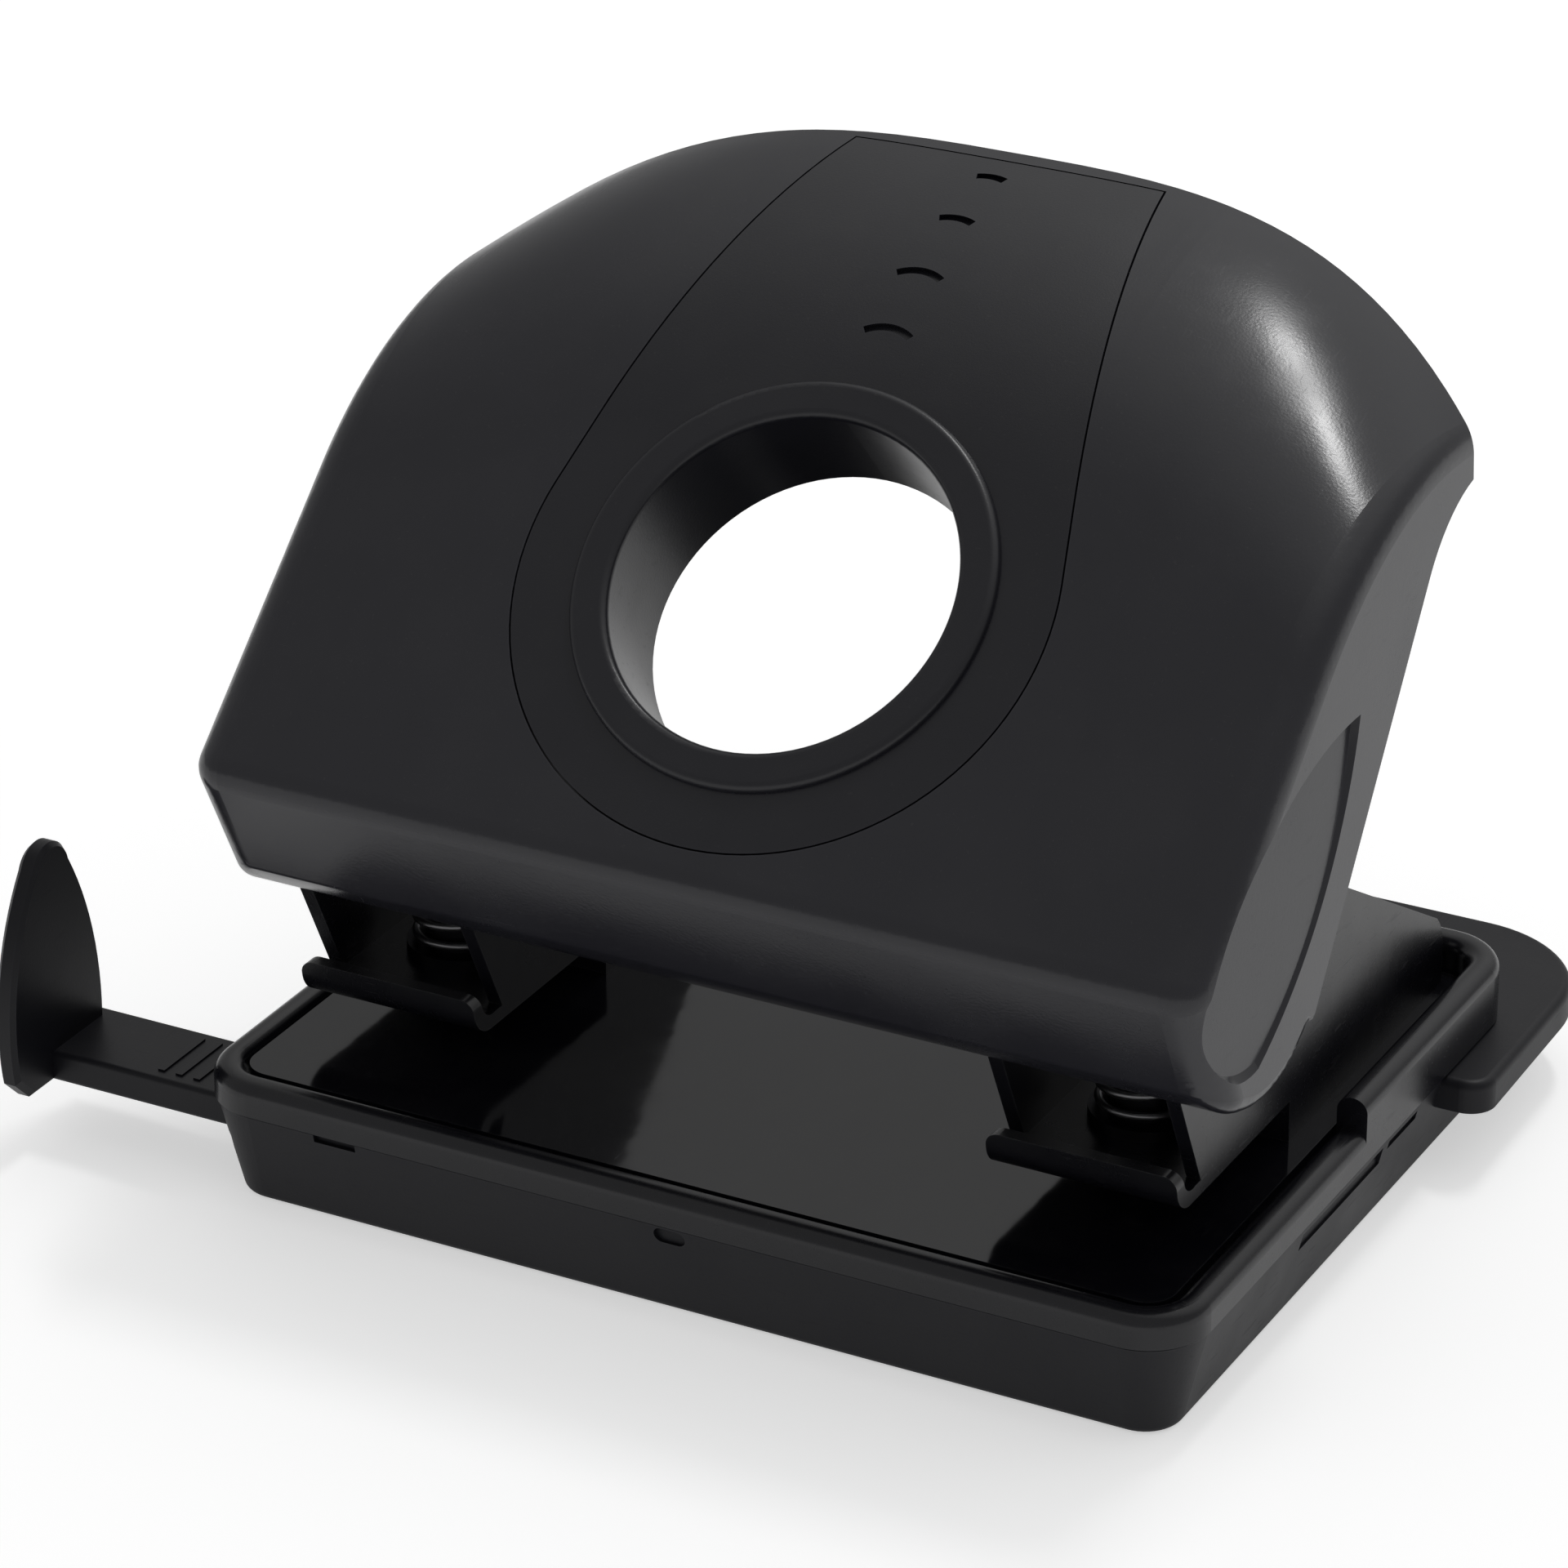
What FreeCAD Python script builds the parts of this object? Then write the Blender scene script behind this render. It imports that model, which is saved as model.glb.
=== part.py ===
"""Two-hole desk punch: a lever handle over two steel punch brackets on a low base.

Millimetres, +Z up, +X to the right and +Y to the back.  The origin is the centre of the
chip tray's underside, which is the face that the punch stands on.
Distances called "from front" are measured back from the front face of the base.
"""
import FreeCAD, Part
import math
import os

V = FreeCAD.Vector
AXIS_X = V(1, 0, 0)
AXIS_Y = V(0, 1, 0)
AXIS_Z = V(0, 0, 1)
SIDES = {"left": -1, "right": 1}

# --- Paper and punching -----------------------------------------------------------
HOLE_PITCH = 80.0            # distance between the two punched holes
PIN_DIAMETER = 5.5
HOLE_MARGIN = 12.0           # hole centre to the edge of the paper
PIN_FROM_FRONT = 28.0
THROAT = 4.8                 # free height over the base plate for the paper
TIP_ABOVE_THROAT = 0.2       # the resting tip stays this far inside its guide

# --- Base -------------------------------------------------------------------------
BASE_WIDTH = 114.0
BASE_DEPTH = 86.0
CORNER_RADIUS = 7.0
TRAY_HEIGHT = 11.0
SEAM = 0.25                  # gap between the tray and the frame
PLATE_TOP = 14.5
PLATE_THICKNESS = 1.5
RIM_ABOVE_PLATE = 0.5
RIM_WIDTH = 3.4
RIM_ROUNDING = 1.6
REAR_RIM_HEIGHT = 3.4        # the rear part of the rim stands this much higher
REAR_RIM_FROM_FRONT = 45.0
PLATE_GAP = 0.4              # shadow gap round the base plate
LEDGE_WIDTH = 4.5
SKIRT_DEPTH = 2.8
SKIRT_THICKNESS = 1.1

# --- Chip tray --------------------------------------------------------------------
TRAY_WALL = 1.8
TRAY_FLOOR = 1.6
TRAY_TOP_INSET = 0.3
TRAY_DRAFT = 2.6             # the walls lean in by this much from top to bottom
TRAY_FOOT_ROUNDING = 1.0
TRAY_NOTCH_DROP = 2.0        # the left wall's notch under the guide bar, room to swing
CATCH_DROP = 1.1             # the oval catch's centre, below the tray's top
CATCH_RADIUS = 0.9
CATCH_DEPTH = 1.2
SIDE_SLOTS = ((30.5, 51.0, 1.3, 3.0), (52.5, 60.0, 1.1, 2.0))   # start, end, depth, lower edge
SLOT_DROP = 1.0              # of their upper edge below the seam
FRONT_SLIT = (-42.0, -37.0)
SLIT_DEPTH = 1.1
SLIT_HEIGHT = 0.9
TAB_REACH_SIDE = 4.6
TAB_REACH_BACK = 16.5
TAB_LENGTH_SIDE = 20.0
TAB_LENGTH_BACK = 36.0
TAB_CORNER_RADIUS = 14.0
TAB_TAPER = 0.4              # its side leans in by this much towards the back
TAB_DEPTH = 3.6
TAB_WALL = 2.0
TAB_BEAD = 1.0
TRAY_HINGE_RADIUS = 2.05
TRAY_HINGE_PIN_RADIUS = 1.0
TRAY_HINGE_LUG = 4.0
TRAY_HINGE_FROM_FRONT = (30.0, 66.0)
TRAY_HINGE_PIN_LENGTH = 12.0

# --- Brackets ---------------------------------------------------------------------
STEEL = 1.6
BRACKET_WIDTH = 21.0
LIP_FROM_FRONT = 12.6
LIP_HEIGHT = 4.6
LIP_BEND = 3.0
TAIL_FROM_FRONT = 80.0
TAIL_HEIGHT = 23.0
TAIL_SHOULDER_FROM_FRONT = 52.0
TAIL_SHOULDER_HEIGHT = 38.4
INNER_TAIL_FROM_FRONT = 62.0
PIVOT_FROM_FRONT = 16.0
PIVOT_HEIGHT = 43.0
PIVOT_BOSS_RADIUS = 7.6
SHAFT_RADIUS = 2.5
RIVET_RADIUS = 1.6
RIVET_HEAD_RADIUS = 3.0
RIVET_HEAD = 1.1
CLIP_THICKNESS = 0.8
CLIP_RADIUS = 4.4

# --- Punch pins -------------------------------------------------------------------
PRESS_ARM = 12.3             # pivot to the press roller
PRESS_ANGLE = 32.0           # degrees that the handle turns
ROLLER_RADIUS = 3.0
ROLLER_STEP = 1.0            # from the roller to its journals
ROLLER_END_PLAY = 0.1
ROLLER_GAP = 0.3
PIN_HEAD_RADIUS = 4.4
PIN_HEAD = 1.8
WASHER_RADIUS = 5.9
WASHER_THICKNESS = 0.8
BUSH_RADIUS = 4.0
BUSH_FLANGE_RADIUS = 6.0
BUSH_FLANGE = 1.2
BUSH_HEIGHT = 6.0
SPRING_WIRE = 0.9
SPRING_RADIUS = 4.95
SPRING_TURNS = 7

# --- Handle -----------------------------------------------------------------------
HANDLE_WIDTH = 114.0
WALL = 2.4
FACE_ANGLE = 42.5
FACE_FROM_PIVOT = 14.9       # distance of the sloping face from the pivot axis
CREASE_BEHIND = -15.0        # crease of the front band, from the pivot
BAND_DEPTH = 13.2
BAND_LEAN = 6.5
CROWN_START = 37.2           # flat stretch of the face, measured along Y at the middle
CROWN_START_DROP = 12.3      # and how much shorter it is at the sides
REAR_BEHIND = 61.4           # rear edge at the middle, from the pivot
REAR_BEHIND_DROP = 11.7
REAR_ABOVE = 57.8
REAR_ABOVE_DROP = 16.8
CROWN_POWER = 3.1            # how late the crown falls off towards the sides
START_POWER = 2.5
REAR_LIP = 4.6
CHEEK_TOP = (39.5, 29.6)     # rear outline of the side walls, from the pivot (Y, Z)
CHEEK_FOOT = (13.4, -8.6)
CHEEK_BOTTOM = (2.0, -12.2)
SHOULDER_RADIUS = 4.2
CREASE_RADIUS = 3.0
FOOT_ROUNDING = 2.0          # lower outer edges of the side walls
RIB_DEPTH = 7.0
RIB_THICKNESS = 1.8
RIB_SPACING = 24.0           # ribs at this distance each side of the middle
HOLE_RADIUS = 18.5
HOLE_ALONG_FACE = 26.6       # hole centre along the face, from the pivot
SLEEVE_LENGTH = 13.0
SLEEVE_WALL = 1.9
RING_WIDTH = 4.2
RING_RISE = 1.0
INLAY_THICKNESS = 1.2
INLAY_GAP = 0.2
TONGUE_RADIUS = 29.3
TONGUE_END_HALF_WIDTH = 18.0
TONGUE_END_MARGIN = 1.6
TICKS = ((30.2, 5.2), (37.9, 5.0), (45.9, 3.8), (53.0, 3.2))   # along the face from the hole, width
TICK_WIDTH = 0.9
TICK_DEPTH = 0.6
LEAF_TOP = (23.0, 21.6)      # thumb recess of the side walls: its corners from the pivot (Y, Z)
LEAF_FRONT = (-11.6, 4.8)
LEAF_FOOT = (0.5, -7.2)
LEAF_BULGES = (5.0, 4.0, 4.4)    # of its upper, lower and rear edges
LEAF_DEPTH = 1.0             # at the leaf's middle
LEAF_TILT = 0.05             # its floor lies deeper towards the front, per unit of width
LEAF_DRAFT = 0.7

# --- Press levers -----------------------------------------------------------------
LEVER_STEEL = 1.4
LEVER_HALF_WIDTH = 8.4
LEVER_WEB_FROM_PIVOT = 7.5
LEVER_REACH = 18.0
LEVER_BACK = -4.0
SCREW_RADIUS = 1.1
SCREW_HEAD_RADIUS = 2.3
SCREW_HEAD = 1.3
SCREW_ALONG_FACE = (3.5, 15.0)
SCREW_BITE = 4.6
SCREW_ROOM = 0.1
SCREW_NECK = 0.2             # of the shank inside the head
SCREW_SLOT = 0.7
SCREW_CHAMFER = 0.3
SCREW_BOSS_RADIUS = 2.8

# --- Paper guide ------------------------------------------------------------------
GUIDE_STOP = 77.0            # middle of the punch to the fin's inner face, as stored
GUIDE_LENGTH = 105.0
GUIDE_WIDTH = 11.2
GUIDE_FROM_FRONT = 4.4
GUIDE_THICKNESS = 3.6
GUIDE_BOTTOM = 6.6
FIN_THICKNESS = 2.4
FIN_WIDTH = 16.2
FIN_OVERHANG = 6.6           # how far the fin stands in front of the bar
FIN_HEIGHT = 27.4
GUIDE_CLEARANCE = 0.3
PAPER_HALF_WIDTHS = (74.0, 105.0, 139.7, 148.5)
NOTCH_RADIUS = 1.0
NOTCH_OFFSET = 0.3           # of its axis behind the bar, as a share of its radius
GUIDE_ROUNDING = 0.6
RIDGES = 3                   # finger ridges on the bar
RIDGE_FIRST = 3.0
RIDGE_PITCH = 2.2
RIDGE_WIDTH = 0.8
RIDGE_INSET = 1.6
RIDGE_SINK = 0.3
RIDGE_RISE = 0.2
DETENT_REACH = 12.0          # leaf spring behind the bar
DETENT_CREST = 1.2
DETENT_HALF_CREST = 1.4
DETENT_STEEL = 0.4
DETENT_LIFT = 0.6
DETENT_FOOT = 4.0
DETENT_FROM_MIDDLE = 44.0
GUIDE_STRAPS = (49.0, 20.0)  # straps that carry the bar, left of the middle
STRAP_WIDTH = 6.0
STRAP_THICKNESS = 1.6

# --- Fits -------------------------------------------------------------------------
RUNNING = 0.05               # radial clearance of a turning or sliding fit
SEATED = 0.02                # radial clearance of a fixed fit
OVERCUT = 1.0                # by which a cut runs past the face it opens
FREE = 0.3                   # clearance of parts that pass each other

# --- Worked out from the values above ---------------------------------------------
FRONT = -BASE_DEPTH / 2
BACK = BASE_DEPTH / 2
SEAM_TOP = TRAY_HEIGHT + SEAM
RIM_TOP = PLATE_TOP + RIM_ABOVE_PLATE
REAR_RIM_TOP = RIM_TOP + REAR_RIM_HEIGHT
PLATE_BOTTOM = PLATE_TOP - PLATE_THICKNESS
WEB_BOTTOM = PLATE_TOP + THROAT
WEB_TOP = WEB_BOTTOM + STEEL
PIN_X = HOLE_PITCH / 2
PIN_Y = FRONT + PIN_FROM_FRONT
STOP_Y = PIN_Y + HOLE_MARGIN
PIVOT_Y = FRONT + PIVOT_FROM_FRONT
PIN_RADIUS = PIN_DIAMETER / 2
TIP_Z = WEB_BOTTOM + TIP_ABOVE_THROAT
HALF_PRESS = math.radians(PRESS_ANGLE / 2)
ROLLER_Y = PIVOT_Y + PRESS_ARM * math.cos(HALF_PRESS)
ROLLER_Z = PIVOT_HEIGHT + PRESS_ARM * math.sin(HALF_PRESS)
PIN_TOP = ROLLER_Z - ROLLER_RADIUS - ROLLER_GAP
PIN_TRAVEL = 2 * PRESS_ARM * math.sin(HALF_PRESS)
HEAD_BOTTOM = PIN_TOP - PIN_HEAD
WASHER_BOTTOM = HEAD_BOTTOM - WASHER_THICKNESS
SPRING_FOOT = WEB_TOP + BUSH_FLANGE
TRAY_HINGE_X = -BASE_WIDTH / 2 + TRAY_TOP_INSET + TRAY_HINGE_RADIUS
TRAY_HINGE_Z = TRAY_HEIGHT - TRAY_HINGE_RADIUS
SKIRT_INSET = TRAY_TOP_INSET + TRAY_WALL + 0.8
GUIDE_TOP = GUIDE_BOTTOM + GUIDE_THICKNESS
GUIDE_FRONT = FRONT + GUIDE_FROM_FRONT
GUIDE_BACK = GUIDE_FRONT + GUIDE_WIDTH
FACE = math.radians(FACE_ANGLE)
ALONG = V(0, math.cos(FACE), math.sin(FACE))         # up the sloping face
OUT = V(0, -math.sin(FACE), math.cos(FACE))          # square out of it
PIVOT = V(0, PIVOT_Y, PIVOT_HEIGHT)


# --- Small helpers ----------------------------------------------------------------
def box(x0, x1, y0, y1, z0, z1):
    """Box between two corners."""
    return Part.makeBox(x1 - x0, y1 - y0, z1 - z0, V(x0, y0, z0))


def rod(radius, start, length, axis):
    """Cylinder from a point along an axis."""
    return Part.makeCylinder(radius, length, start, axis)


def outline(points, close=True):
    """Wire through points; a point pair (middle, end) makes an arc to its end."""
    edges = []
    last = points[0]
    for item in points[1:]:
        if isinstance(item, tuple):
            edges.append(Part.Arc(last, item[0], item[1]).toShape())
            last = item[1]
        else:
            edges.append(Part.makeLine(last, item))
            last = item
    if close and last.distanceToPoint(points[0]) > 1e-6:
        edges.append(Part.makeLine(last, points[0]))
    return Part.Wire(edges)


def prism(wire, direction):
    """Solid swept by a flat closed wire."""
    return Part.Face(wire).extrude(direction)


def plan(inset, radius, z):
    """Rounded outline of the base at a height, moved inwards by an inset."""
    x = BASE_WIDTH / 2 - inset
    y = BASE_DEPTH / 2 - inset
    r = max(radius - inset, 0.8)
    k = r * (1 - math.sqrt(0.5))
    return outline([
        V(-x + r, -y, z), V(x - r, -y, z), (V(x - k, -y + k, z), V(x, -y + r, z)),
        V(x, y - r, z), (V(x - k, y - k, z), V(x - r, y, z)),
        V(-x + r, y, z), (V(-x + k, y - k, z), V(-x, y - r, z)),
        V(-x, -y + r, z), (V(-x + k, -y + k, z), V(-x + r, -y, z)),
    ])


def plan_block(inset, z0, z1):
    """Block with the base's rounded outline."""
    return prism(plan(inset, CORNER_RADIUS, z0), V(0, 0, z1 - z0))


def plan_loft(inset0, z0, inset1, z1):
    """Block with the base's rounded outline and leaning walls."""
    lower = plan(inset0, CORNER_RADIUS, z0)
    upper = plan(inset1, CORNER_RADIUS, z1)
    return Part.makeLoft([lower, upper], True, True)


def mirrored(shape):
    """Copy of a right-hand shape for the left."""
    return shape.mirror(V(0, 0, 0), AXIS_X)


def in_face(x, along, out):
    """Point given across the handle, up its face and out from the pivot axis."""
    return PIVOT + V(x, 0, 0) + ALONG * along + OUT * out


def join(shapes):
    """One solid from shapes that share volume."""
    return shapes[0].fuse(shapes[1:]).removeSplitter()


# --- Base -------------------------------------------------------------------------
def make_base_frame():
    """Moulded frame: low front rim, raised rear rim, plate ledge, skirt and guide straps."""
    rim = plan_block(0, SEAM_TOP, REAR_RIM_TOP)
    half = BASE_WIDTH
    low = box(-half, half, -BASE_DEPTH, FRONT + REAR_RIM_FROM_FRONT, RIM_TOP, REAR_RIM_TOP + 1)
    rim = rim.cut(low)
    rim = rim.cut(plan_block(RIM_WIDTH, PLATE_BOTTOM, REAR_RIM_TOP + 1))
    top_edges = []
    for edge in rim.Edges:
        span = edge.BoundBox
        flat = span.ZLength < 1e-6
        on_top = abs(span.ZMin - RIM_TOP) < 1e-6 or abs(span.ZMin - REAR_RIM_TOP) < 1e-6
        across = span.YLength < 1e-6 and abs(span.YMin - FRONT - REAR_RIM_FROM_FRONT) < 1e-6
        if flat and on_top and not across:
            outside = max(abs(span.XMin), abs(span.XMax)) > BASE_WIDTH / 2 - CORNER_RADIUS
            if outside or abs(span.YMin) > BASE_DEPTH / 2 - RIM_WIDTH - 1e-3:
                top_edges.append(edge)
    rim = rim.makeFillet(RIM_ROUNDING, top_edges)
    rim = rim.cut(plan_block(RIM_WIDTH + LEDGE_WIDTH, SEAM_TOP - 1, PLATE_BOTTOM + 1))
    skirt_foot = SEAM_TOP - SKIRT_DEPTH
    skirt = plan_block(SKIRT_INSET, skirt_foot, SEAM_TOP + 0.5)
    skirt = skirt.cut(plan_block(SKIRT_INSET + SKIRT_THICKNESS, skirt_foot - 1, SEAM_TOP + 1))
    skirt = skirt.cut(box(-half, TRAY_HINGE_X + TRAY_HINGE_RADIUS + FREE, -half, half,
                          skirt_foot - 1, SEAM_TOP))
    frame = join([rim, skirt] + guide_straps() + hinge_lugs())
    return frame.cut(guide_channel())


def guide_straps():
    """Straps under the ledge that carry the paper guide's bar."""
    straps = []
    for from_middle in GUIDE_STRAPS:
        x0 = -from_middle - STRAP_WIDTH / 2
        back = GUIDE_BACK + GUIDE_CLEARANCE + STRAP_THICKNESS
        bottom = GUIDE_BOTTOM - GUIDE_CLEARANCE - STRAP_THICKNESS
        front = FRONT + SKIRT_INSET + SKIRT_THICKNESS + 0.6
        straps.append(box(x0, x0 + STRAP_WIDTH, front, back, bottom, PLATE_BOTTOM))
    return straps


def guide_channel():
    """Space for the paper guide's bar through the frame."""
    return box(-BASE_WIDTH, BASE_WIDTH / 2 - RIM_WIDTH - LEDGE_WIDTH, FRONT + SKIRT_INSET + SKIRT_THICKNESS,
               GUIDE_BACK + GUIDE_CLEARANCE, GUIDE_BOTTOM - GUIDE_CLEARANCE, GUIDE_TOP + GUIDE_CLEARANCE)


def hinge_lugs():
    """Lugs under the left edge of the frame that hold the tray's hinge pins."""
    lugs = []
    r = TRAY_HINGE_RADIUS - 0.1
    for from_front in TRAY_HINGE_FROM_FRONT:
        y0 = FRONT + from_front - TRAY_HINGE_LUG / 2
        eye = rod(r, V(TRAY_HINGE_X, y0, TRAY_HINGE_Z), TRAY_HINGE_LUG, AXIS_Y)
        neck = box(TRAY_HINGE_X - r, TRAY_HINGE_X + r, y0, y0 + TRAY_HINGE_LUG, TRAY_HINGE_Z, SEAM_TOP + 0.5)
        lug = eye.fuse(neck)
        bore = rod(TRAY_HINGE_PIN_RADIUS + SEATED, V(TRAY_HINGE_X, y0 - 1, TRAY_HINGE_Z),
                   TRAY_HINGE_LUG + 2, AXIS_Y)
        lugs.append(lug.cut(bore))
    return lugs


def make_base_plate():
    """Flat steel plate with the two die holes and the rivet holes."""
    plate = plan_block(RIM_WIDTH + PLATE_GAP, PLATE_BOTTOM, PLATE_TOP)
    for side in SIDES.values():
        below = V(side * PIN_X, PIN_Y, PLATE_BOTTOM - OVERCUT)
        die = rod(PIN_RADIUS + RUNNING, below, PLATE_THICKNESS + 2 * OVERCUT, AXIS_Z)
        plate = plate.cut(die)
    for x, y in rivet_places():
        hole = rod(RIVET_RADIUS + SEATED, V(x, y, PLATE_BOTTOM - 1), PLATE_THICKNESS + 2, AXIS_Z)
        plate = plate.cut(hole)
    return plate


def rivet_places():
    """Rivets of both brackets, in the plate's plane."""
    places = []
    quarter = BRACKET_WIDTH / 4
    for side in SIDES.values():
        for dx in (-quarter, quarter):
            for from_front in (STOP_Y - FRONT + 8.0, INNER_TAIL_FROM_FRONT - 3.0):
                places.append((side * (PIN_X + dx), FRONT + from_front))
    return places


def make_bracket_rivets():
    """Rivets that clench the brackets to the base plate."""
    rivets = []
    for x, y in rivet_places():
        top = PLATE_TOP + STEEL
        shank = rod(RIVET_RADIUS, V(x, y, PLATE_BOTTOM - 0.2), top - PLATE_BOTTOM + 0.4, AXIS_Z)
        upper = Part.makeCone(RIVET_HEAD_RADIUS, RIVET_HEAD_RADIUS * 0.55, RIVET_HEAD, V(x, y, top), AXIS_Z)
        lower = Part.makeCone(RIVET_HEAD_RADIUS * 0.7, RIVET_HEAD_RADIUS, RIVET_HEAD,
                              V(x, y, PLATE_BOTTOM - RIVET_HEAD), AXIS_Z)
        rivets.append(join([shank, upper, lower]))
    return Part.makeCompound(rivets)


# --- Brackets ---------------------------------------------------------------------
def flange_outline(x, tail, tail_height, shoulder, shoulder_height):
    """Side outline of a bracket flange: round head at the pivot and a falling tail."""
    r = PIVOT_BOSS_RADIUS
    z0 = PLATE_TOP
    low_front = FRONT + PIVOT_FROM_FRONT + 3.0
    corner = 2.0
    head_front = V(x, PIVOT_Y - r * math.cos(math.radians(20)), PIVOT_HEIGHT - r * math.sin(math.radians(20)))
    head_top = V(x, PIVOT_Y, PIVOT_HEIGHT + r)
    head_mid = V(x, PIVOT_Y - r * math.cos(math.radians(35)), PIVOT_HEIGHT + r * math.sin(math.radians(35)))
    head_back = V(x, PIVOT_Y + r * math.sin(math.radians(25)), PIVOT_HEIGHT + r * math.cos(math.radians(25)))
    head_over = V(x, PIVOT_Y + r * math.sin(math.radians(12)), PIVOT_HEIGHT + r * math.cos(math.radians(12)))
    tail_y = FRONT + tail
    return outline([
        V(x, low_front, WEB_BOTTOM), head_front, (head_mid, head_top), (head_over, head_back),
        V(x, FRONT + shoulder, shoulder_height), V(x, tail_y - corner, tail_height),
        (V(x, tail_y - corner * 0.3, tail_height - corner * 0.9), V(x, tail_y, tail_height - 2 * corner)),
        V(x, tail_y, z0), V(x, STOP_Y, z0), V(x, STOP_Y, WEB_BOTTOM),
    ])


def make_bracket():
    """Right-hand bracket: two flanges, a stepped web and the flared paper lip."""
    half = BRACKET_WIDTH / 2
    outer = prism(flange_outline(PIN_X + half - STEEL, TAIL_FROM_FRONT, TAIL_HEIGHT,
                                 TAIL_SHOULDER_FROM_FRONT, TAIL_SHOULDER_HEIGHT), V(STEEL, 0, 0))
    inner = prism(flange_outline(PIN_X - half, INNER_TAIL_FROM_FRONT, TAIL_HEIGHT,
                                 INNER_TAIL_FROM_FRONT - 18.0, TAIL_SHOULDER_HEIGHT), V(STEEL, 0, 0))
    lip_y = FRONT + LIP_FROM_FRONT
    bend_y = lip_y + LIP_BEND
    left = PIN_X - half
    lip = prism(outline([
        V(left, bend_y + 3.0, WEB_BOTTOM), V(left, bend_y + 0.6, WEB_BOTTOM),
        (V(left, lip_y + 0.9, WEB_BOTTOM + 1.0), V(left, lip_y, WEB_BOTTOM + 2.9)),
        V(left, lip_y - 0.3, WEB_BOTTOM + LIP_HEIGHT), V(left, lip_y + STEEL - 0.3, WEB_BOTTOM + LIP_HEIGHT),
        V(left, lip_y + STEEL, WEB_BOTTOM + 3.1),
        (V(left, lip_y + STEEL + 0.8, WEB_TOP + 0.4), V(left, bend_y + 1.2, WEB_TOP)),
        V(left, bend_y + 3.0, WEB_TOP),
    ]), V(BRACKET_WIDTH, 0, 0))
    corners = [e for e in lip.Edges
               if e.BoundBox.XLength < 1e-6 and e.BoundBox.ZMax > WEB_BOTTOM + LIP_HEIGHT - 1e-3
               and e.BoundBox.ZLength < 1e-3]
    lip = lip.makeFillet(1.6, corners)
    web = box(left, left + BRACKET_WIDTH, bend_y + 2.0, STOP_Y + STEEL, WEB_BOTTOM, WEB_TOP)
    step = box(left, left + BRACKET_WIDTH, STOP_Y, STOP_Y + STEEL, PLATE_TOP, WEB_TOP)
    tail = FRONT + INNER_TAIL_FROM_FRONT
    foot = box(left, left + BRACKET_WIDTH, STOP_Y, tail, PLATE_TOP, PLATE_TOP + STEEL)
    bracket = join([outer, inner, web, step, foot, lip])
    bracket = bracket.cut(rod(BUSH_RADIUS + SEATED, V(PIN_X, PIN_Y, WEB_BOTTOM - 1), STEEL + 2, AXIS_Z))
    pivot = V(left - OVERCUT, PIVOT_Y, PIVOT_HEIGHT)
    bracket = bracket.cut(rod(SHAFT_RADIUS + SEATED, pivot, BRACKET_WIDTH + 2 * OVERCUT, AXIS_X))
    for x, y in rivet_places():
        if x > 0:
            bracket = bracket.cut(rod(RIVET_RADIUS + SEATED, V(x, y, PLATE_TOP - 1), STEEL + 2, AXIS_Z))
    return bracket


def make_pivot_shaft():
    """Right-hand pivot shaft through both flanges."""
    over = CLIP_THICKNESS + 1.0
    length = BRACKET_WIDTH + 2 * over
    shaft = rod(SHAFT_RADIUS, V(PIN_X - length / 2, PIVOT_Y, PIVOT_HEIGHT), length, AXIS_X)
    ends = [e for e in shaft.Edges if e.BoundBox.XLength < 1e-6]
    return shaft.makeChamfer(0.4, ends)


def make_shaft_clips():
    """Open retaining clips at the ends of both pivot shafts."""
    clips = []
    for side in SIDES.values():
        for end in (-1, 1):
            face = side * PIN_X + end * (BRACKET_WIDTH / 2 + CLIP_THICKNESS / 2 + 0.1)
            start = V(face - CLIP_THICKNESS / 2, PIVOT_Y, PIVOT_HEIGHT)
            ring = rod(CLIP_RADIUS, start, CLIP_THICKNESS, AXIS_X)
            ring = ring.cut(rod(SHAFT_RADIUS + SEATED, start - AXIS_X, CLIP_THICKNESS + 2, AXIS_X))
            mouth = box(start.x - 1, start.x + CLIP_THICKNESS + 1, PIVOT_Y - 1.3, PIVOT_Y + 1.3,
                        PIVOT_HEIGHT - CLIP_RADIUS - 1, PIVOT_HEIGHT)
            clips.append(ring.cut(mouth))
    return Part.makeCompound(clips)


# --- Punch pins -------------------------------------------------------------------
def make_guide_bush():
    """Right-hand flanged bush that guides the pin."""
    foot = V(PIN_X, PIN_Y, WEB_BOTTOM)
    tube = rod(BUSH_RADIUS, foot, STEEL + BUSH_HEIGHT, AXIS_Z)
    flange = rod(BUSH_FLANGE_RADIUS, V(PIN_X, PIN_Y, WEB_TOP), BUSH_FLANGE, AXIS_Z)
    bore = rod(PIN_RADIUS + RUNNING, foot - AXIS_Z, STEEL + BUSH_HEIGHT + 2, AXIS_Z)
    return join([tube, flange]).cut(bore)


def make_punch_pin():
    """Right-hand pin: hardened shank with a hollow-ground tip and a pressed head."""
    shank = rod(PIN_RADIUS, V(PIN_X, PIN_Y, TIP_Z), HEAD_BOTTOM - TIP_Z, AXIS_Z)
    groove_radius = PIN_DIAMETER
    groove = rod(groove_radius, V(PIN_X - PIN_DIAMETER, PIN_Y, TIP_Z - groove_radius + 0.9),
                 2 * PIN_DIAMETER, AXIS_X)
    head = rod(PIN_HEAD_RADIUS, V(PIN_X, PIN_Y, HEAD_BOTTOM), PIN_HEAD, AXIS_Z)
    rim = [e for e in head.Edges if abs(e.BoundBox.ZMin - PIN_TOP) < 1e-6]
    head = head.makeFillet(0.5, rim)
    return join([shank.cut(groove), head])


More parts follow.
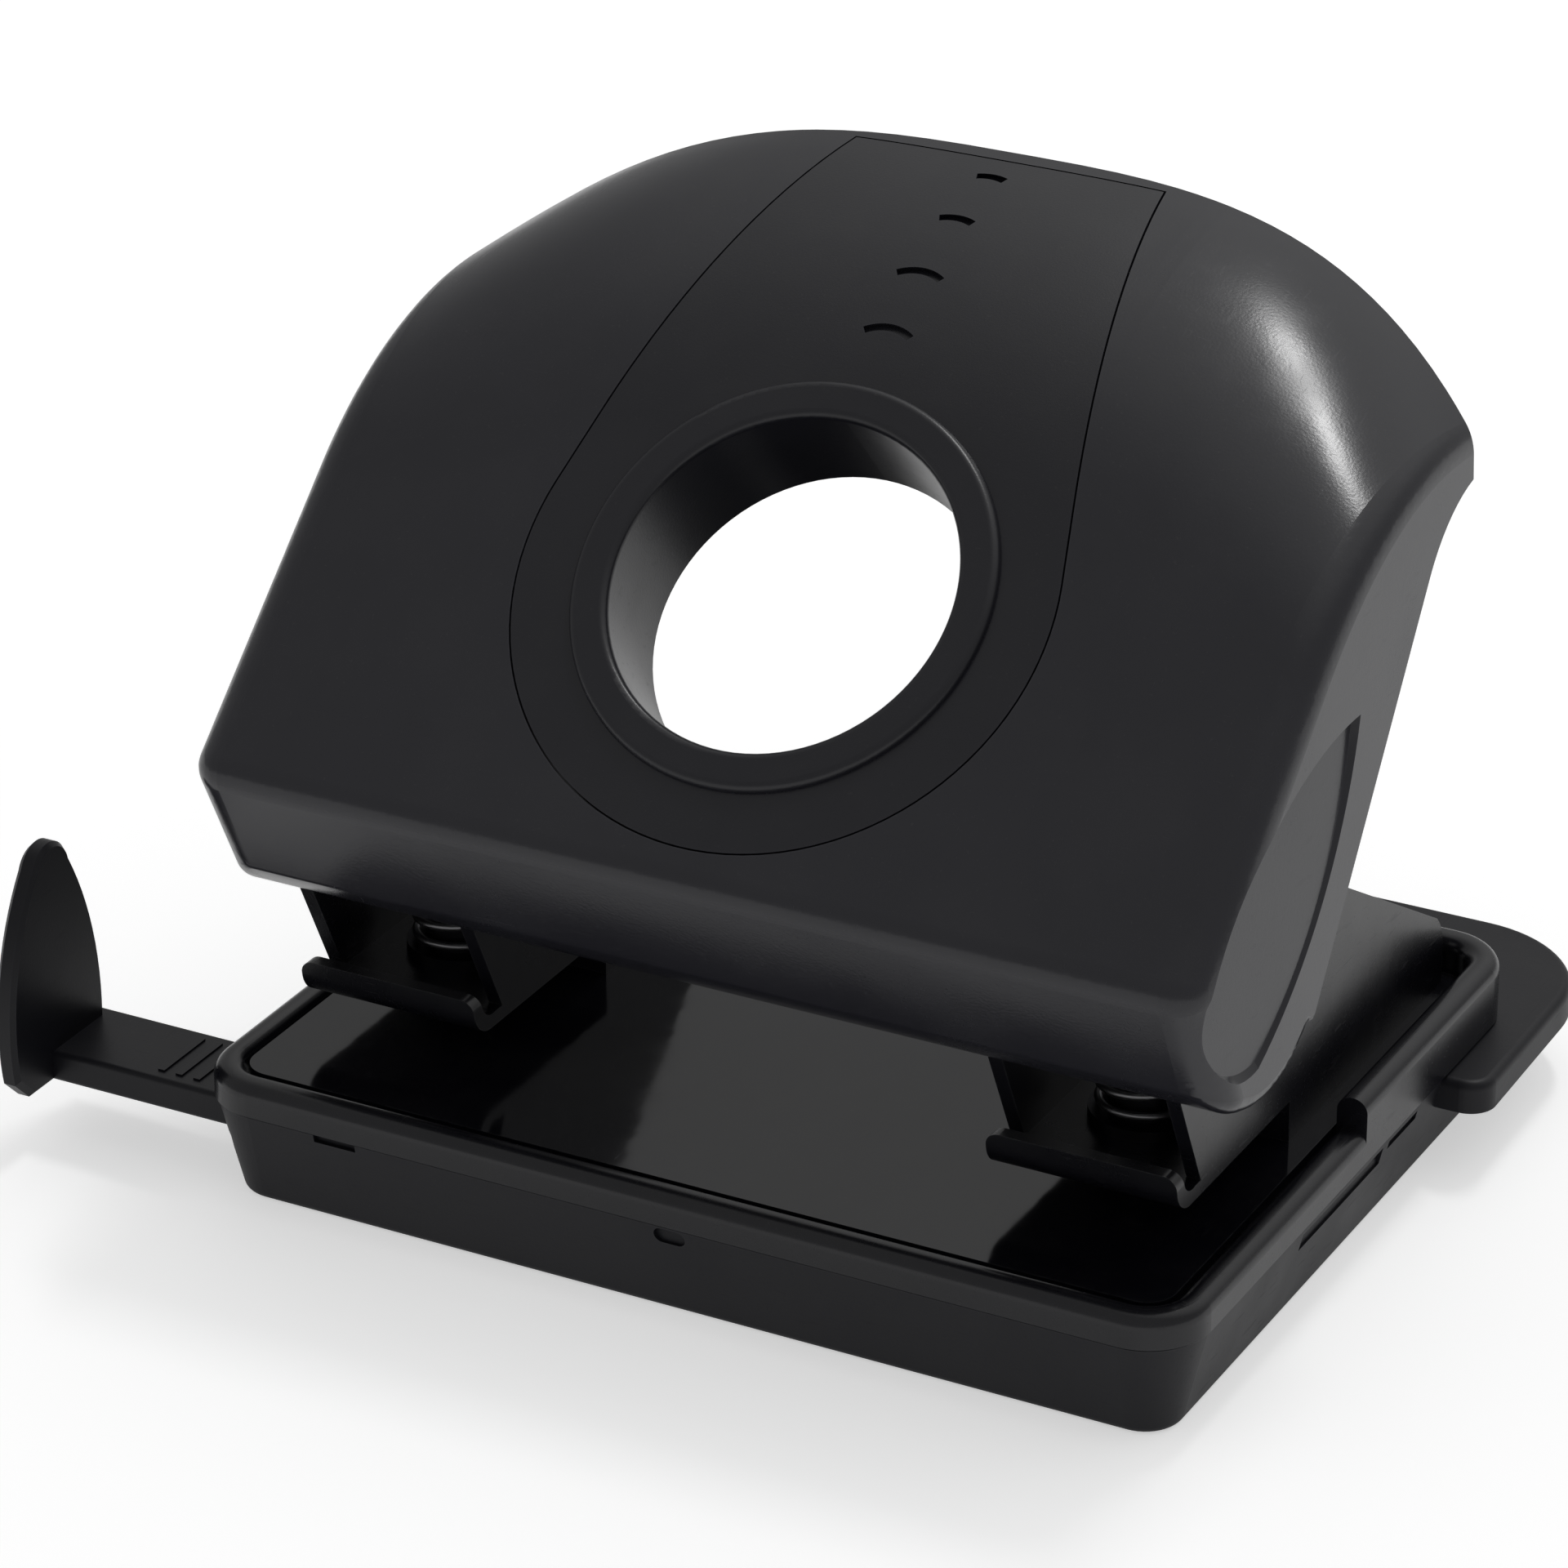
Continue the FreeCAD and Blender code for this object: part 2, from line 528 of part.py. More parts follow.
def make_spring_washer():
    """Right-hand washer between the spring and the pin's head."""
    ring = rod(WASHER_RADIUS, V(PIN_X, PIN_Y, WASHER_BOTTOM), WASHER_THICKNESS, AXIS_Z)
    below = V(PIN_X, PIN_Y, WASHER_BOTTOM - OVERCUT)
    return ring.cut(rod(PIN_RADIUS + SEATED, below, WASHER_THICKNESS + 2 * OVERCUT, AXIS_Z))


def make_punch_spring():
    """Right-hand return spring round the pin, between the bush flange and the washer."""
    length = WASHER_BOTTOM - SPRING_FOOT - SPRING_WIRE
    helix = Part.makeHelix(length / SPRING_TURNS, length, SPRING_RADIUS)
    profile = Part.Wire([Part.makeCircle(SPRING_WIRE / 2 - 0.02, V(SPRING_RADIUS, 0, 0), AXIS_Y)])
    coil = Part.Wire(helix).makePipeShell([profile], True, True)
    coil.translate(V(PIN_X, PIN_Y, SPRING_FOOT + SPRING_WIRE / 2))
    return coil


# --- Handle -----------------------------------------------------------------------
def crown(x):
    """Points of the face at a distance from the middle: crease, crown start, arc middle, rear edge."""
    s = abs(2 * x / HANDLE_WIDTH)
    crease = V(x, PIVOT_Y + CREASE_BEHIND, 0)
    crease.z = PIVOT_HEIGHT + CREASE_BEHIND * math.tan(FACE) + FACE_FROM_PIVOT / math.cos(FACE)
    flat = CROWN_START - CROWN_START_DROP * s ** START_POWER
    start = crease + V(0, flat, flat * math.tan(FACE))
    fall = s ** CROWN_POWER
    rear = V(x, PIVOT_Y + REAR_BEHIND - REAR_BEHIND_DROP * fall,
             PIVOT_HEIGHT + REAR_ABOVE - REAR_ABOVE_DROP * fall)
    chord = rear - start
    turn = FACE - math.atan2(chord.z, chord.y)
    radius = chord.Length / (2 * math.sin(turn))
    centre = start - OUT * radius
    return crease, start, centre, radius, turn, rear


def on_arc(x, centre, radius, angle):
    """Point of the crown's arc; the angle is measured back from its start."""
    a = math.pi / 2 + FACE - angle
    return V(x, centre.y + radius * math.cos(a), centre.z + radius * math.sin(a))


def handle_section(x):
    """Closed side outline of the handle's outer form at a distance from the middle."""
    crease, start, centre, radius, turn, rear = crown(x)
    band_foot = crease + V(0, BAND_LEAN, -BAND_DEPTH)
    lip_foot = rear + V(0, 0.4, -REAR_LIP)
    cheek_top = V(x, PIVOT_Y + CHEEK_TOP[0], PIVOT_HEIGHT + CHEEK_TOP[1])
    cheek_foot = V(x, PIVOT_Y + CHEEK_FOOT[0], PIVOT_HEIGHT + CHEEK_FOOT[1])
    bottom = V(x, PIVOT_Y + CHEEK_BOTTOM[0], PIVOT_HEIGHT + CHEEK_BOTTOM[1])
    sag = (lip_foot - cheek_top) * 0.4
    bend = cheek_top + sag + V(0, -0.9, 0.9)
    return outline([
        band_foot, crease, start, (on_arc(x, centre, radius, turn), rear), lip_foot,
        (bend, cheek_top), cheek_foot, (bottom, band_foot),
    ])


def hollow_section(x, inset):
    """Closed side outline of the space under the skin, open to the back and below."""
    crease, start, centre, radius, turn, rear = crown(x)
    band = math.atan2(BAND_DEPTH, -BAND_LEAN)
    band_in = V(0, math.sin(band), -math.cos(band))
    inner_start = start - OUT * inset
    a = crease + band_in * inset
    slope = V(0, math.cos(band), math.sin(band))
    gap = inner_start - a
    run = (gap.z * ALONG.y - gap.y * ALONG.z) / (slope.z * ALONG.y - slope.y * ALONG.z)
    inner_crease = a + slope * run
    low = inner_crease - slope * (BAND_DEPTH + 9.0)
    inner_radius = radius - inset
    end_angle = 2 * turn - inset / inner_radius
    inner_rear = on_arc(x, centre, inner_radius, end_angle)
    lip = V(x, inner_rear.y, rear.z - REAR_LIP - 1.0)
    far = PIVOT_Y + REAR_BEHIND + 15.0
    return outline([
        low, inner_crease, inner_start, (on_arc(x, centre, inner_radius, end_angle / 2), inner_rear),
        lip, V(x, far, lip.z), V(x, far, low.z),
    ])


def handle_stations(half_width):
    """Distances from the middle at which the handle's outline is drawn."""
    steps = (1.0, 0.93, 0.83, 0.68, 0.5, 0.27)
    right = [half_width * s for s in steps]
    return [-x for x in right] + [0.0] + right[::-1]


def hollow(inset, half_width):
    """Space under the handle's skin at a depth."""
    return Part.makeLoft([hollow_section(x, inset) for x in handle_stations(half_width)], True, False)


def handle_form():
    """Outer form of the handle with its soft crease and shoulders."""
    half = HANDLE_WIDTH / 2
    form = Part.makeLoft([handle_section(x) for x in handle_stations(half)], True, False)
    crease = crown(0)[0]
    front = [e for e in form.Edges
             if e.BoundBox.XLength > 1 and abs(e.BoundBox.YMin - crease.y) < 0.05
             and abs(e.BoundBox.ZMin - crease.z) < 0.05 and e.BoundBox.YLength < 0.1]
    form = form.makeFillet(CREASE_RADIUS, front)
    form = form.makeFillet(SHOULDER_RADIUS, [e for e in side_edges(form) if is_shoulder(e)])
    return form.makeFillet(FOOT_ROUNDING, [e for e in side_edges(form) if is_foot(e)])


def side_edges(form):
    """Edges that lie in the flat side faces of the handle."""
    edges = [e for e in form.Edges if e.BoundBox.XLength < 1e-3]
    return [e for e in edges if abs(e.BoundBox.XMax) > HANDLE_WIDTH / 2 - 1e-3]


def is_foot(edge):
    """True for the lower side edges, from the front band back to the side wall's rear."""
    middle = edge.valueAt((edge.FirstParameter + edge.LastParameter) / 2)
    return middle.z < PIVOT_HEIGHT + CHEEK_BOTTOM[1] + 1 and middle.y < PIVOT_Y + CHEEK_FOOT[0]


def is_shoulder(edge):
    """True for the side edges of the face and of the front band."""
    middle = edge.valueAt((edge.FirstParameter + edge.LastParameter) / 2)
    above = (middle - PIVOT).dot(OUT) > FACE_FROM_PIVOT * 0.2 and middle.z > PIVOT_HEIGHT + CHEEK_BOTTOM[1]
    ahead = middle.y < PIVOT_Y + CHEEK_TOP[0] or middle.z > PIVOT_HEIGHT + REAR_ABOVE - REAR_ABOVE_DROP
    return above and ahead


def hole_rod(radius, start_out, end_out):
    """Cylinder on the axis of the handle's round hole."""
    return rod(radius, in_face(0, HOLE_ALONG_FACE, start_out), end_out - start_out, OUT)


def tongue(margin, start_out, end_out):
    """Prism of the tongue outline, made smaller by a margin."""
    r = TONGUE_RADIUS - margin
    half = TONGUE_END_HALF_WIDTH - margin
    rear = V(0, PIVOT_Y + REAR_BEHIND, PIVOT_HEIGHT + REAR_ABOVE)
    end = (rear - PIVOT).dot(ALONG) - HOLE_ALONG_FACE - TONGUE_END_MARGIN - margin
    reach = math.hypot(half, end)
    touch = math.atan2(end, half) - math.acos(r / reach)

    def at(x, along):
        return in_face(x, HOLE_ALONG_FACE + along, start_out)

    tx = r * math.cos(touch)
    ty = r * math.sin(touch)
    return prism(outline([
        at(tx, ty), at(half, end), at(-half, end), at(-tx, ty), (at(0, -r), at(tx, ty)),
    ]), OUT * (end_out - start_out))


def leaf_outline(side, depth, shrink, tilt):
    """Outline of the thumb recess in a side wall, at a depth that changes across the leaf."""
    corners = (LEAF_TOP, LEAF_FRONT, LEAF_FOOT)
    middle_y, middle_z = (sum(place) / len(corners) for place in zip(*corners))

    def at(y, z):
        y, z = y - middle_y, z - middle_z
        keep = 1 - shrink / math.hypot(y, z)
        x = side * (HANDLE_WIDTH / 2 - depth - tilt * (z - y) * keep)
        return V(x, PIVOT_Y + middle_y + y * keep, PIVOT_HEIGHT + middle_z + z * keep)

    points = [at(*corners[0])]
    for bulge, (y0, z0), (y1, z1) in zip(LEAF_BULGES, corners, corners[1:] + corners[:1]):
        share = bulge / math.hypot(y1 - y0, z1 - z0)
        via = at((y0 + y1) / 2 + share * (z1 - z0), (z0 + z1) / 2 - share * (y1 - y0))
        points.append((via, at(y1, z1)))
    return outline(points)


def make_handle_shell():
    """Moulded shell: face, front band, side walls, ribs and screw bosses."""
    half = HANDLE_WIDTH / 2
    form = handle_form()
    void = hollow(WALL, half - WALL)
    shell = form.cut(void)
    deep = hollow(WALL + RIB_DEPTH, half - WALL)
    ribs = []
    for side in SIDES.values():
        x = side * RIB_SPACING
        slab = box(x - RIB_THICKNESS / 2, x + RIB_THICKNESS / 2,
                   -HANDLE_WIDTH, HANDLE_WIDTH, 0, HANDLE_WIDTH)
        ribs.append(slab.common(form.cut(deep)))
    bosses = []
    boss_foot = LEVER_WEB_FROM_PIVOT + LEVER_STEEL
    for x, along in screw_places():
        rise = FACE_FROM_PIVOT - WALL / 2 - boss_foot
        boss = rod(SCREW_BOSS_RADIUS, in_face(x, along, boss_foot), rise, OUT)
        bosses.append(boss)
    shell = shell.fuse(ribs + bosses)
    for x, along in screw_places():
        start = in_face(x, along, LEVER_WEB_FROM_PIVOT)
        shell = shell.cut(rod(SCREW_RADIUS, start, LEVER_STEEL + SCREW_BITE + 0.2, OUT))
    seat = form.cut(hollow(INLAY_THICKNESS + 0.05, half - WALL))
    shell = shell.cut(seat.common(tongue(0, 0, REAR_ABOVE)))
    shell = shell.cut(hole_rod(HOLE_RADIUS + SLEEVE_WALL + INLAY_GAP, -10, REAR_ABOVE))
    for side in SIDES.values():
        mouth = leaf_outline(side, -SEATED, 0, 0)
        floor = leaf_outline(side, LEAF_DEPTH, LEAF_DRAFT, LEAF_TILT)
        shell = shell.cut(Part.makeLoft([mouth, floor], True, True))
    return shell


def make_tongue_inlay():
    """Inlay of the face: the tongue-shaped skin with the raised ring and sleeve of the hole."""
    half = HANDLE_WIDTH / 2
    form = handle_form()
    skin = form.cut(hollow(INLAY_THICKNESS, half - WALL)).common(tongue(INLAY_GAP, 0, REAR_ABOVE))
    sleeve = hole_rod(HOLE_RADIUS + SLEEVE_WALL, FACE_FROM_PIVOT - SLEEVE_LENGTH, FACE_FROM_PIVOT)
    ring_foot = FACE_FROM_PIVOT - INLAY_THICKNESS / 2
    ring = hole_rod(HOLE_RADIUS + RING_WIDTH, ring_foot, FACE_FROM_PIVOT + RING_RISE)
    inlay = join([skin, sleeve, ring])
    inlay = inlay.cut(hole_rod(HOLE_RADIUS, -10, REAR_ABOVE))
    centre = in_face(0, HOLE_ALONG_FACE, FACE_FROM_PIVOT + RING_RISE)
    lips = []
    for edge in inlay.Edges:
        middle = edge.valueAt((edge.FirstParameter + edge.LastParameter) / 2)
        if abs((middle - centre).dot(OUT)) < 1e-3:
            lips.append(edge)
    inlay = inlay.makeFillet(RING_RISE * 0.9, lips)
    for along, width in TICKS:
        inlay = inlay.cut(tick(along, width))
    return inlay


def tick(along, width):
    """Small arched groove across the middle of the inlay."""
    radius = 4.5
    half_angle = math.asin(width / 2 / radius)

    def at(r, a):
        return in_face(r * math.sin(a), HOLE_ALONG_FACE + along - radius + r * math.cos(a), 0)

    inner = radius - TICK_WIDTH / 2
    outer = radius + TICK_WIDTH / 2
    groove = prism(outline([
        at(inner, -half_angle), (at(inner, 0), at(inner, half_angle)), at(outer, half_angle),
        (at(outer, 0), at(outer, -half_angle)),
    ]), OUT * REAR_ABOVE)
    floor = hollow(TICK_DEPTH, HANDLE_WIDTH / 2 - WALL)
    return groove.cut(floor)


# --- Press levers -----------------------------------------------------------------
def screw_places():
    """Screws of both levers: across the handle and along its face."""
    return [(side * PIN_X, along) for side in SIDES.values() for along in SCREW_ALONG_FACE]


def make_press_lever():
    """Right-hand lever: two cheeks on the pivot shaft under a web that carries the handle."""
    roller = V(0, ROLLER_Y, ROLLER_Z) - PIVOT
    u = roller.dot(ALONG)
    w = roller.dot(OUT)
    top = LEVER_WEB_FROM_PIVOT + LEVER_STEEL
    eye = 5.6
    nose = 4.4
    lean = math.atan2(-w, u)
    cheeks = []
    for start in (PIN_X - LEVER_HALF_WIDTH, PIN_X + LEVER_HALF_WIDTH - LEVER_STEEL):
        def at(along, out):
            return in_face(start, along, out)

        back = lean + math.pi / 2
        front = lean + math.pi
        cheek = prism(outline([
            at(LEVER_BACK - 1.6, top), at(LEVER_REACH, top), at(LEVER_REACH, top - 3.0),
            at(u + nose, w + 1.0),
            (at(u + nose * math.cos(lean + 0.35), w - nose * math.sin(lean + 0.35)),
             at(u - nose * math.sin(lean), w - nose * math.cos(lean))),
            at(-eye * math.sin(lean), -eye * math.cos(lean)),
            (at(eye * math.cos(front - 0.5), -eye * math.sin(front - 0.5)), at(-eye, 0)),
        ]), V(LEVER_STEEL, 0, 0))
        cheeks.append(cheek)
    web = prism(outline([
        in_face(PIN_X - LEVER_HALF_WIDTH, LEVER_BACK - 1.6, LEVER_WEB_FROM_PIVOT),
        in_face(PIN_X + LEVER_HALF_WIDTH, LEVER_BACK - 1.6, LEVER_WEB_FROM_PIVOT),
        in_face(PIN_X + LEVER_HALF_WIDTH, LEVER_REACH, LEVER_WEB_FROM_PIVOT),
        in_face(PIN_X - LEVER_HALF_WIDTH, LEVER_REACH, LEVER_WEB_FROM_PIVOT),
    ]), OUT * LEVER_STEEL)
    lever = join(cheeks + [web])
    across = 2 * LEVER_HALF_WIDTH + 2
    start_x = PIN_X - LEVER_HALF_WIDTH - 1
    lever = lever.cut(rod(SHAFT_RADIUS + RUNNING, V(start_x, PIVOT_Y, PIVOT_HEIGHT), across, AXIS_X))
    lever = lever.cut(rod(ROLLER_RADIUS - ROLLER_STEP + SEATED, V(start_x, ROLLER_Y, ROLLER_Z), across, AXIS_X))
    for x, along in screw_places():
        if x > 0:
            start = in_face(x, along, LEVER_WEB_FROM_PIVOT - OVERCUT)
            lever = lever.cut(rod(SCREW_RADIUS + SCREW_ROOM, start, LEVER_STEEL + 2 * OVERCUT, OUT))
    return lever


def make_press_roller():
    """Right-hand roller that bears on the pin's head."""
    inner = LEVER_HALF_WIDTH - LEVER_STEEL - ROLLER_END_PLAY
    body = rod(ROLLER_RADIUS, V(PIN_X - inner, ROLLER_Y, ROLLER_Z), 2 * inner, AXIS_X)
    tip = V(PIN_X - LEVER_HALF_WIDTH, ROLLER_Y, ROLLER_Z)
    ends = rod(ROLLER_RADIUS - ROLLER_STEP, tip, 2 * LEVER_HALF_WIDTH, AXIS_X)
    return join([body, ends])


def make_lever_screws():
    """Screws that hold the levers to the handle's bosses."""
    screws = []
    for x, along in screw_places():
        head = rod(SCREW_HEAD_RADIUS, in_face(x, along, LEVER_WEB_FROM_PIVOT - SCREW_HEAD), SCREW_HEAD, OUT)
        rim = [e for e in head.Edges if len(e.Vertexes) == 1]
        head = head.makeChamfer(SCREW_CHAMFER, rim)
        neck = in_face(x, along, LEVER_WEB_FROM_PIVOT - SCREW_NECK)
        shank = rod(SCREW_RADIUS, neck, LEVER_STEEL + SCREW_BITE, OUT)
        slot = SCREW_SLOT
        recess = box(x - slot / 2, x + slot / 2, -SCREW_HEAD_RADIUS, SCREW_HEAD_RADIUS, -slot, slot)
        recess.rotate(V(0, 0, 0), AXIS_X, FACE_ANGLE)
        recess.translate(in_face(0, along, LEVER_WEB_FROM_PIVOT - SCREW_HEAD))
        screws.append(join([head, shank]).cut(recess))
    return Part.makeCompound(screws)


# --- Paper guide ------------------------------------------------------------------
def make_paper_guide():
    """Flat bar with detent notches and an upright fin at its outer end."""
    outer = -GUIDE_STOP - FIN_THICKNESS
    bar = box(outer + 0.5, -GUIDE_STOP + GUIDE_LENGTH, GUIDE_FRONT, GUIDE_BACK, GUIDE_BOTTOM, GUIDE_TOP)
    long_edges = [e for e in bar.Edges if e.BoundBox.XLength > GUIDE_LENGTH / 2]
    bar = bar.makeFillet(GUIDE_ROUNDING, long_edges)
    for half_width in PAPER_HALF_WIDTHS:
        x = -DETENT_FROM_MIDDLE + half_width - GUIDE_STOP
        below = V(x, GUIDE_BACK + NOTCH_RADIUS * NOTCH_OFFSET, GUIDE_BOTTOM - OVERCUT)
        notch = rod(NOTCH_RADIUS, below, GUIDE_THICKNESS + 2 * OVERCUT, AXIS_Z)
        bar = bar.cut(notch)
    bevel = 0.5
    fin = Part.makeLoft([
        fin_outline(outer, bevel), fin_outline(outer + bevel, 0),
        fin_outline(-GUIDE_STOP - bevel, 0), fin_outline(-GUIDE_STOP, bevel),
    ], True, True)
    ridges = []
    for step in range(RIDGES):
        x = -BASE_WIDTH / 2 - RIDGE_FIRST - RIDGE_PITCH * step
        ridges.append(box(x - RIDGE_WIDTH / 2, x + RIDGE_WIDTH / 2, GUIDE_FRONT + RIDGE_INSET,
                          GUIDE_BACK - RIDGE_INSET, GUIDE_TOP - RIDGE_SINK, GUIDE_TOP + RIDGE_RISE))
    return join([bar, fin] + ridges)


def fin_outline(x, shrink):
    """Bullet-shaped outline of the fin, made smaller all round."""
    y0 = GUIDE_FRONT - FIN_OVERHANG + shrink
    y1 = GUIDE_FRONT - FIN_OVERHANG + FIN_WIDTH - shrink
    z0 = GUIDE_BOTTOM + shrink
    width = y1 - y0
    height = FIN_HEIGHT - 2 * shrink
    toe = 2.4
    return outline([
        V(x, y0 + toe, z0), V(x, y0, z0 + toe),
        (V(x, y0 + width * 0.06, z0 + height * 0.6), V(x, y0 + width * 0.34, z0 + height * 0.93)),
        (V(x, y0 + width * 0.53, z0 + height), V(x, y0 + width * 0.71, z0 + height * 0.91)),
        (V(x, y1 - width * 0.05, z0 + height * 0.55), V(x, y1, z0)),
    ])


def make_guide_spring():
    """Leaf spring behind the bar, with a crest that clicks into its notches."""
    y = GUIDE_BACK + GUIDE_CLEARANCE
    x = -DETENT_FROM_MIDDLE
    reach = DETENT_REACH
    z0 = GUIDE_BOTTOM + DETENT_LIFT
    leaf_y = y + DETENT_CREST
    t = DETENT_STEEL
    outer = DETENT_HALF_CREST
    inner = DETENT_HALF_CREST - 0.75 * t
    leaf = prism(outline([
        V(x - outer, leaf_y, z0), (V(x, y, z0), V(x + outer, leaf_y, z0)), V(x + reach, leaf_y, z0),
        V(x + reach, leaf_y + t, z0), V(x + inner, leaf_y + t, z0),
        (V(x, y + t, z0), V(x - inner, leaf_y + t, z0)), V(x - outer, leaf_y + t, z0),
    ]), V(0, 0, GUIDE_TOP - z0))
    foot = box(x + reach - DETENT_FOOT, x + reach, leaf_y, leaf_y + t, z0, PLATE_BOTTOM)
    return join([leaf, foot])


# --- Chip tray --------------------------------------------------------------------
def tab_outline(margin, z):
    """Outline of the pull tab at the rear right corner."""
    x1 = BASE_WIDTH / 2 + TAB_REACH_SIDE - margin
    y1 = BACK + TAB_REACH_BACK - margin
    y0 = BACK - TAB_LENGTH_SIDE + margin
    x0 = BASE_WIDTH / 2 + TAB_REACH_SIDE - TAB_LENGTH_BACK + margin
    r = TAB_CORNER_RADIUS
    k = r * (1 - math.sqrt(0.5))
    small = 3.0
    ks = small * (1 - math.sqrt(0.5))
    inside = CORNER_RADIUS + 4.0
    return outline([
        V(x1 - inside - 3.0, y0, z), V(x1 - small, y0, z), (V(x1 - ks, y0 + ks, z), V(x1, y0 + small, z)),
        V(x1 - TAB_TAPER, y1 - r, z), (V(x1 - TAB_TAPER - k, y1 - k, z), V(x1 - TAB_TAPER - r, y1, z)),
        V(x0 + small, y1, z), (V(x0 + ks, y1 - ks, z), V(x0, y1 - small, z)),
        V(x0, BACK - 4.0, z), V(x1 - inside - 3.0, BACK - 4.0, z),
    ])


def make_chip_tray():
    """Soft tray under the base, with its hinge barrel and the corner pull tab."""
    low = TRAY_TOP_INSET + TRAY_DRAFT
    body = plan_loft(low, 0, TRAY_TOP_INSET, TRAY_HEIGHT)
    foot = [e for e in body.Edges if e.BoundBox.ZMax < 1e-6]
    body = body.makeFillet(TRAY_FOOT_ROUNDING, foot)
    z_tab = TRAY_HEIGHT - TAB_DEPTH
    tab = prism(tab_outline(0, z_tab), V(0, 0, TAB_DEPTH))
    top_edges = [e for e in tab.Edges if e.BoundBox.ZMin > TRAY_HEIGHT - 1e-6]
    rim = [e for e in top_edges if e.BoundBox.YMax > BACK + 1 or e.BoundBox.XMax > BASE_WIDTH / 2 + 1]
    tab = tab.makeFillet(TAB_BEAD, rim)
    pocket = prism(tab_outline(TAB_WALL, z_tab - 1), V(0, 0, TAB_DEPTH + 1 - TAB_WALL))
    pocket = pocket.cut(body)
    tray = join([body, tab.cut(pocket)])
    slope = TRAY_DRAFT / TRAY_HEIGHT
    inner = plan_loft(low + TRAY_WALL - TRAY_FLOOR * slope, TRAY_FLOOR,
                      TRAY_TOP_INSET + TRAY_WALL - slope, TRAY_HEIGHT + 1)
    tray = tray.cut(inner)
    notch_front = FRONT + SKIRT_INSET + SKIRT_THICKNESS
    notch_back = GUIDE_BACK + 2 * GUIDE_CLEARANCE
    tray = tray.cut(box(-BASE_WIDTH, -BASE_WIDTH / 2 + CORNER_RADIUS + 2, notch_front, notch_back,
                        GUIDE_BOTTOM - TRAY_NOTCH_DROP, TRAY_HEIGHT + OVERCUT))
    return tray_hinge(tray_marks(tray))


def tray_marks(tray):
    """Recesses along the tray's seam: side slots, front slit and the oval catch."""
    side = BASE_WIDTH / 2
    for start, end, depth, low in SIDE_SLOTS:
        tray = tray.cut(box(side - depth, side + OVERCUT, FRONT + start, FRONT + end,
                            TRAY_HEIGHT - low, TRAY_HEIGHT - SLOT_DROP))
    left, right = FRONT_SLIT
    tray = tray.cut(box(left, right, FRONT - OVERCUT, FRONT + SLIT_DEPTH,
                        TRAY_HEIGHT - SLIT_HEIGHT, TRAY_HEIGHT + OVERCUT))
    y, z = FRONT - 1, TRAY_HEIGHT - CATCH_DROP
    ends = [rod(CATCH_RADIUS, V(x, y, z), CATCH_DEPTH + 1, AXIS_Y) for x in (-CATCH_RADIUS, CATCH_RADIUS)]
    middle = box(-CATCH_RADIUS, CATCH_RADIUS, y, y + CATCH_DEPTH + 1, z - CATCH_RADIUS, z + CATCH_RADIUS)
    return tray.cut(join([middle] + ends))


def tray_hinge(tray):
    """Barrel along the left wall, with gaps for the frame's lugs and bores for the pins."""
    y0 = GUIDE_BACK + 4.0
    y1 = BACK - CORNER_RADIUS
    axis = V(TRAY_HINGE_X, -BASE_DEPTH, TRAY_HINGE_Z)
    corner = box(-BASE_WIDTH, TRAY_HINGE_X, -BASE_DEPTH, BASE_DEPTH, TRAY_HINGE_Z, TRAY_HEIGHT + 1)
    corner = corner.cut(rod(TRAY_HINGE_RADIUS, axis, 2 * BASE_DEPTH, AXIS_Y))
    tray = tray.cut(corner)
    barrel = rod(TRAY_HINGE_RADIUS - SEATED, V(TRAY_HINGE_X, y0, TRAY_HINGE_Z), y1 - y0, AXIS_Y)
    tray = join([tray, barrel])
    for from_front in TRAY_HINGE_FROM_FRONT:
        gap = TRAY_HINGE_LUG / 2 + FREE
        y = FRONT + from_front
        r = TRAY_HINGE_RADIUS + FREE
        tray = tray.cut(box(-BASE_WIDTH, TRAY_HINGE_X + r + 1, y - gap, y + gap,
                            TRAY_HINGE_Z - r - 0.6, TRAY_HEIGHT + 1))
        pin = TRAY_HINGE_PIN_LENGTH / 2 + FREE
        end = V(TRAY_HINGE_X, y - pin, TRAY_HINGE_Z)
        tray = tray.cut(rod(TRAY_HINGE_PIN_RADIUS + RUNNING, end, 2 * pin, AXIS_Y))
    return tray


def make_tray_hinge_pins():
    """Steel pins of the tray's hinge, fixed in the frame's lugs."""
    pins = []
    for from_front in TRAY_HINGE_FROM_FRONT:
        start = V(TRAY_HINGE_X, FRONT + from_front - TRAY_HINGE_PIN_LENGTH / 2, TRAY_HINGE_Z)
        pins.append(rod(TRAY_HINGE_PIN_RADIUS, start, TRAY_HINGE_PIN_LENGTH, AXIS_Y))
    return Part.makeCompound(pins)


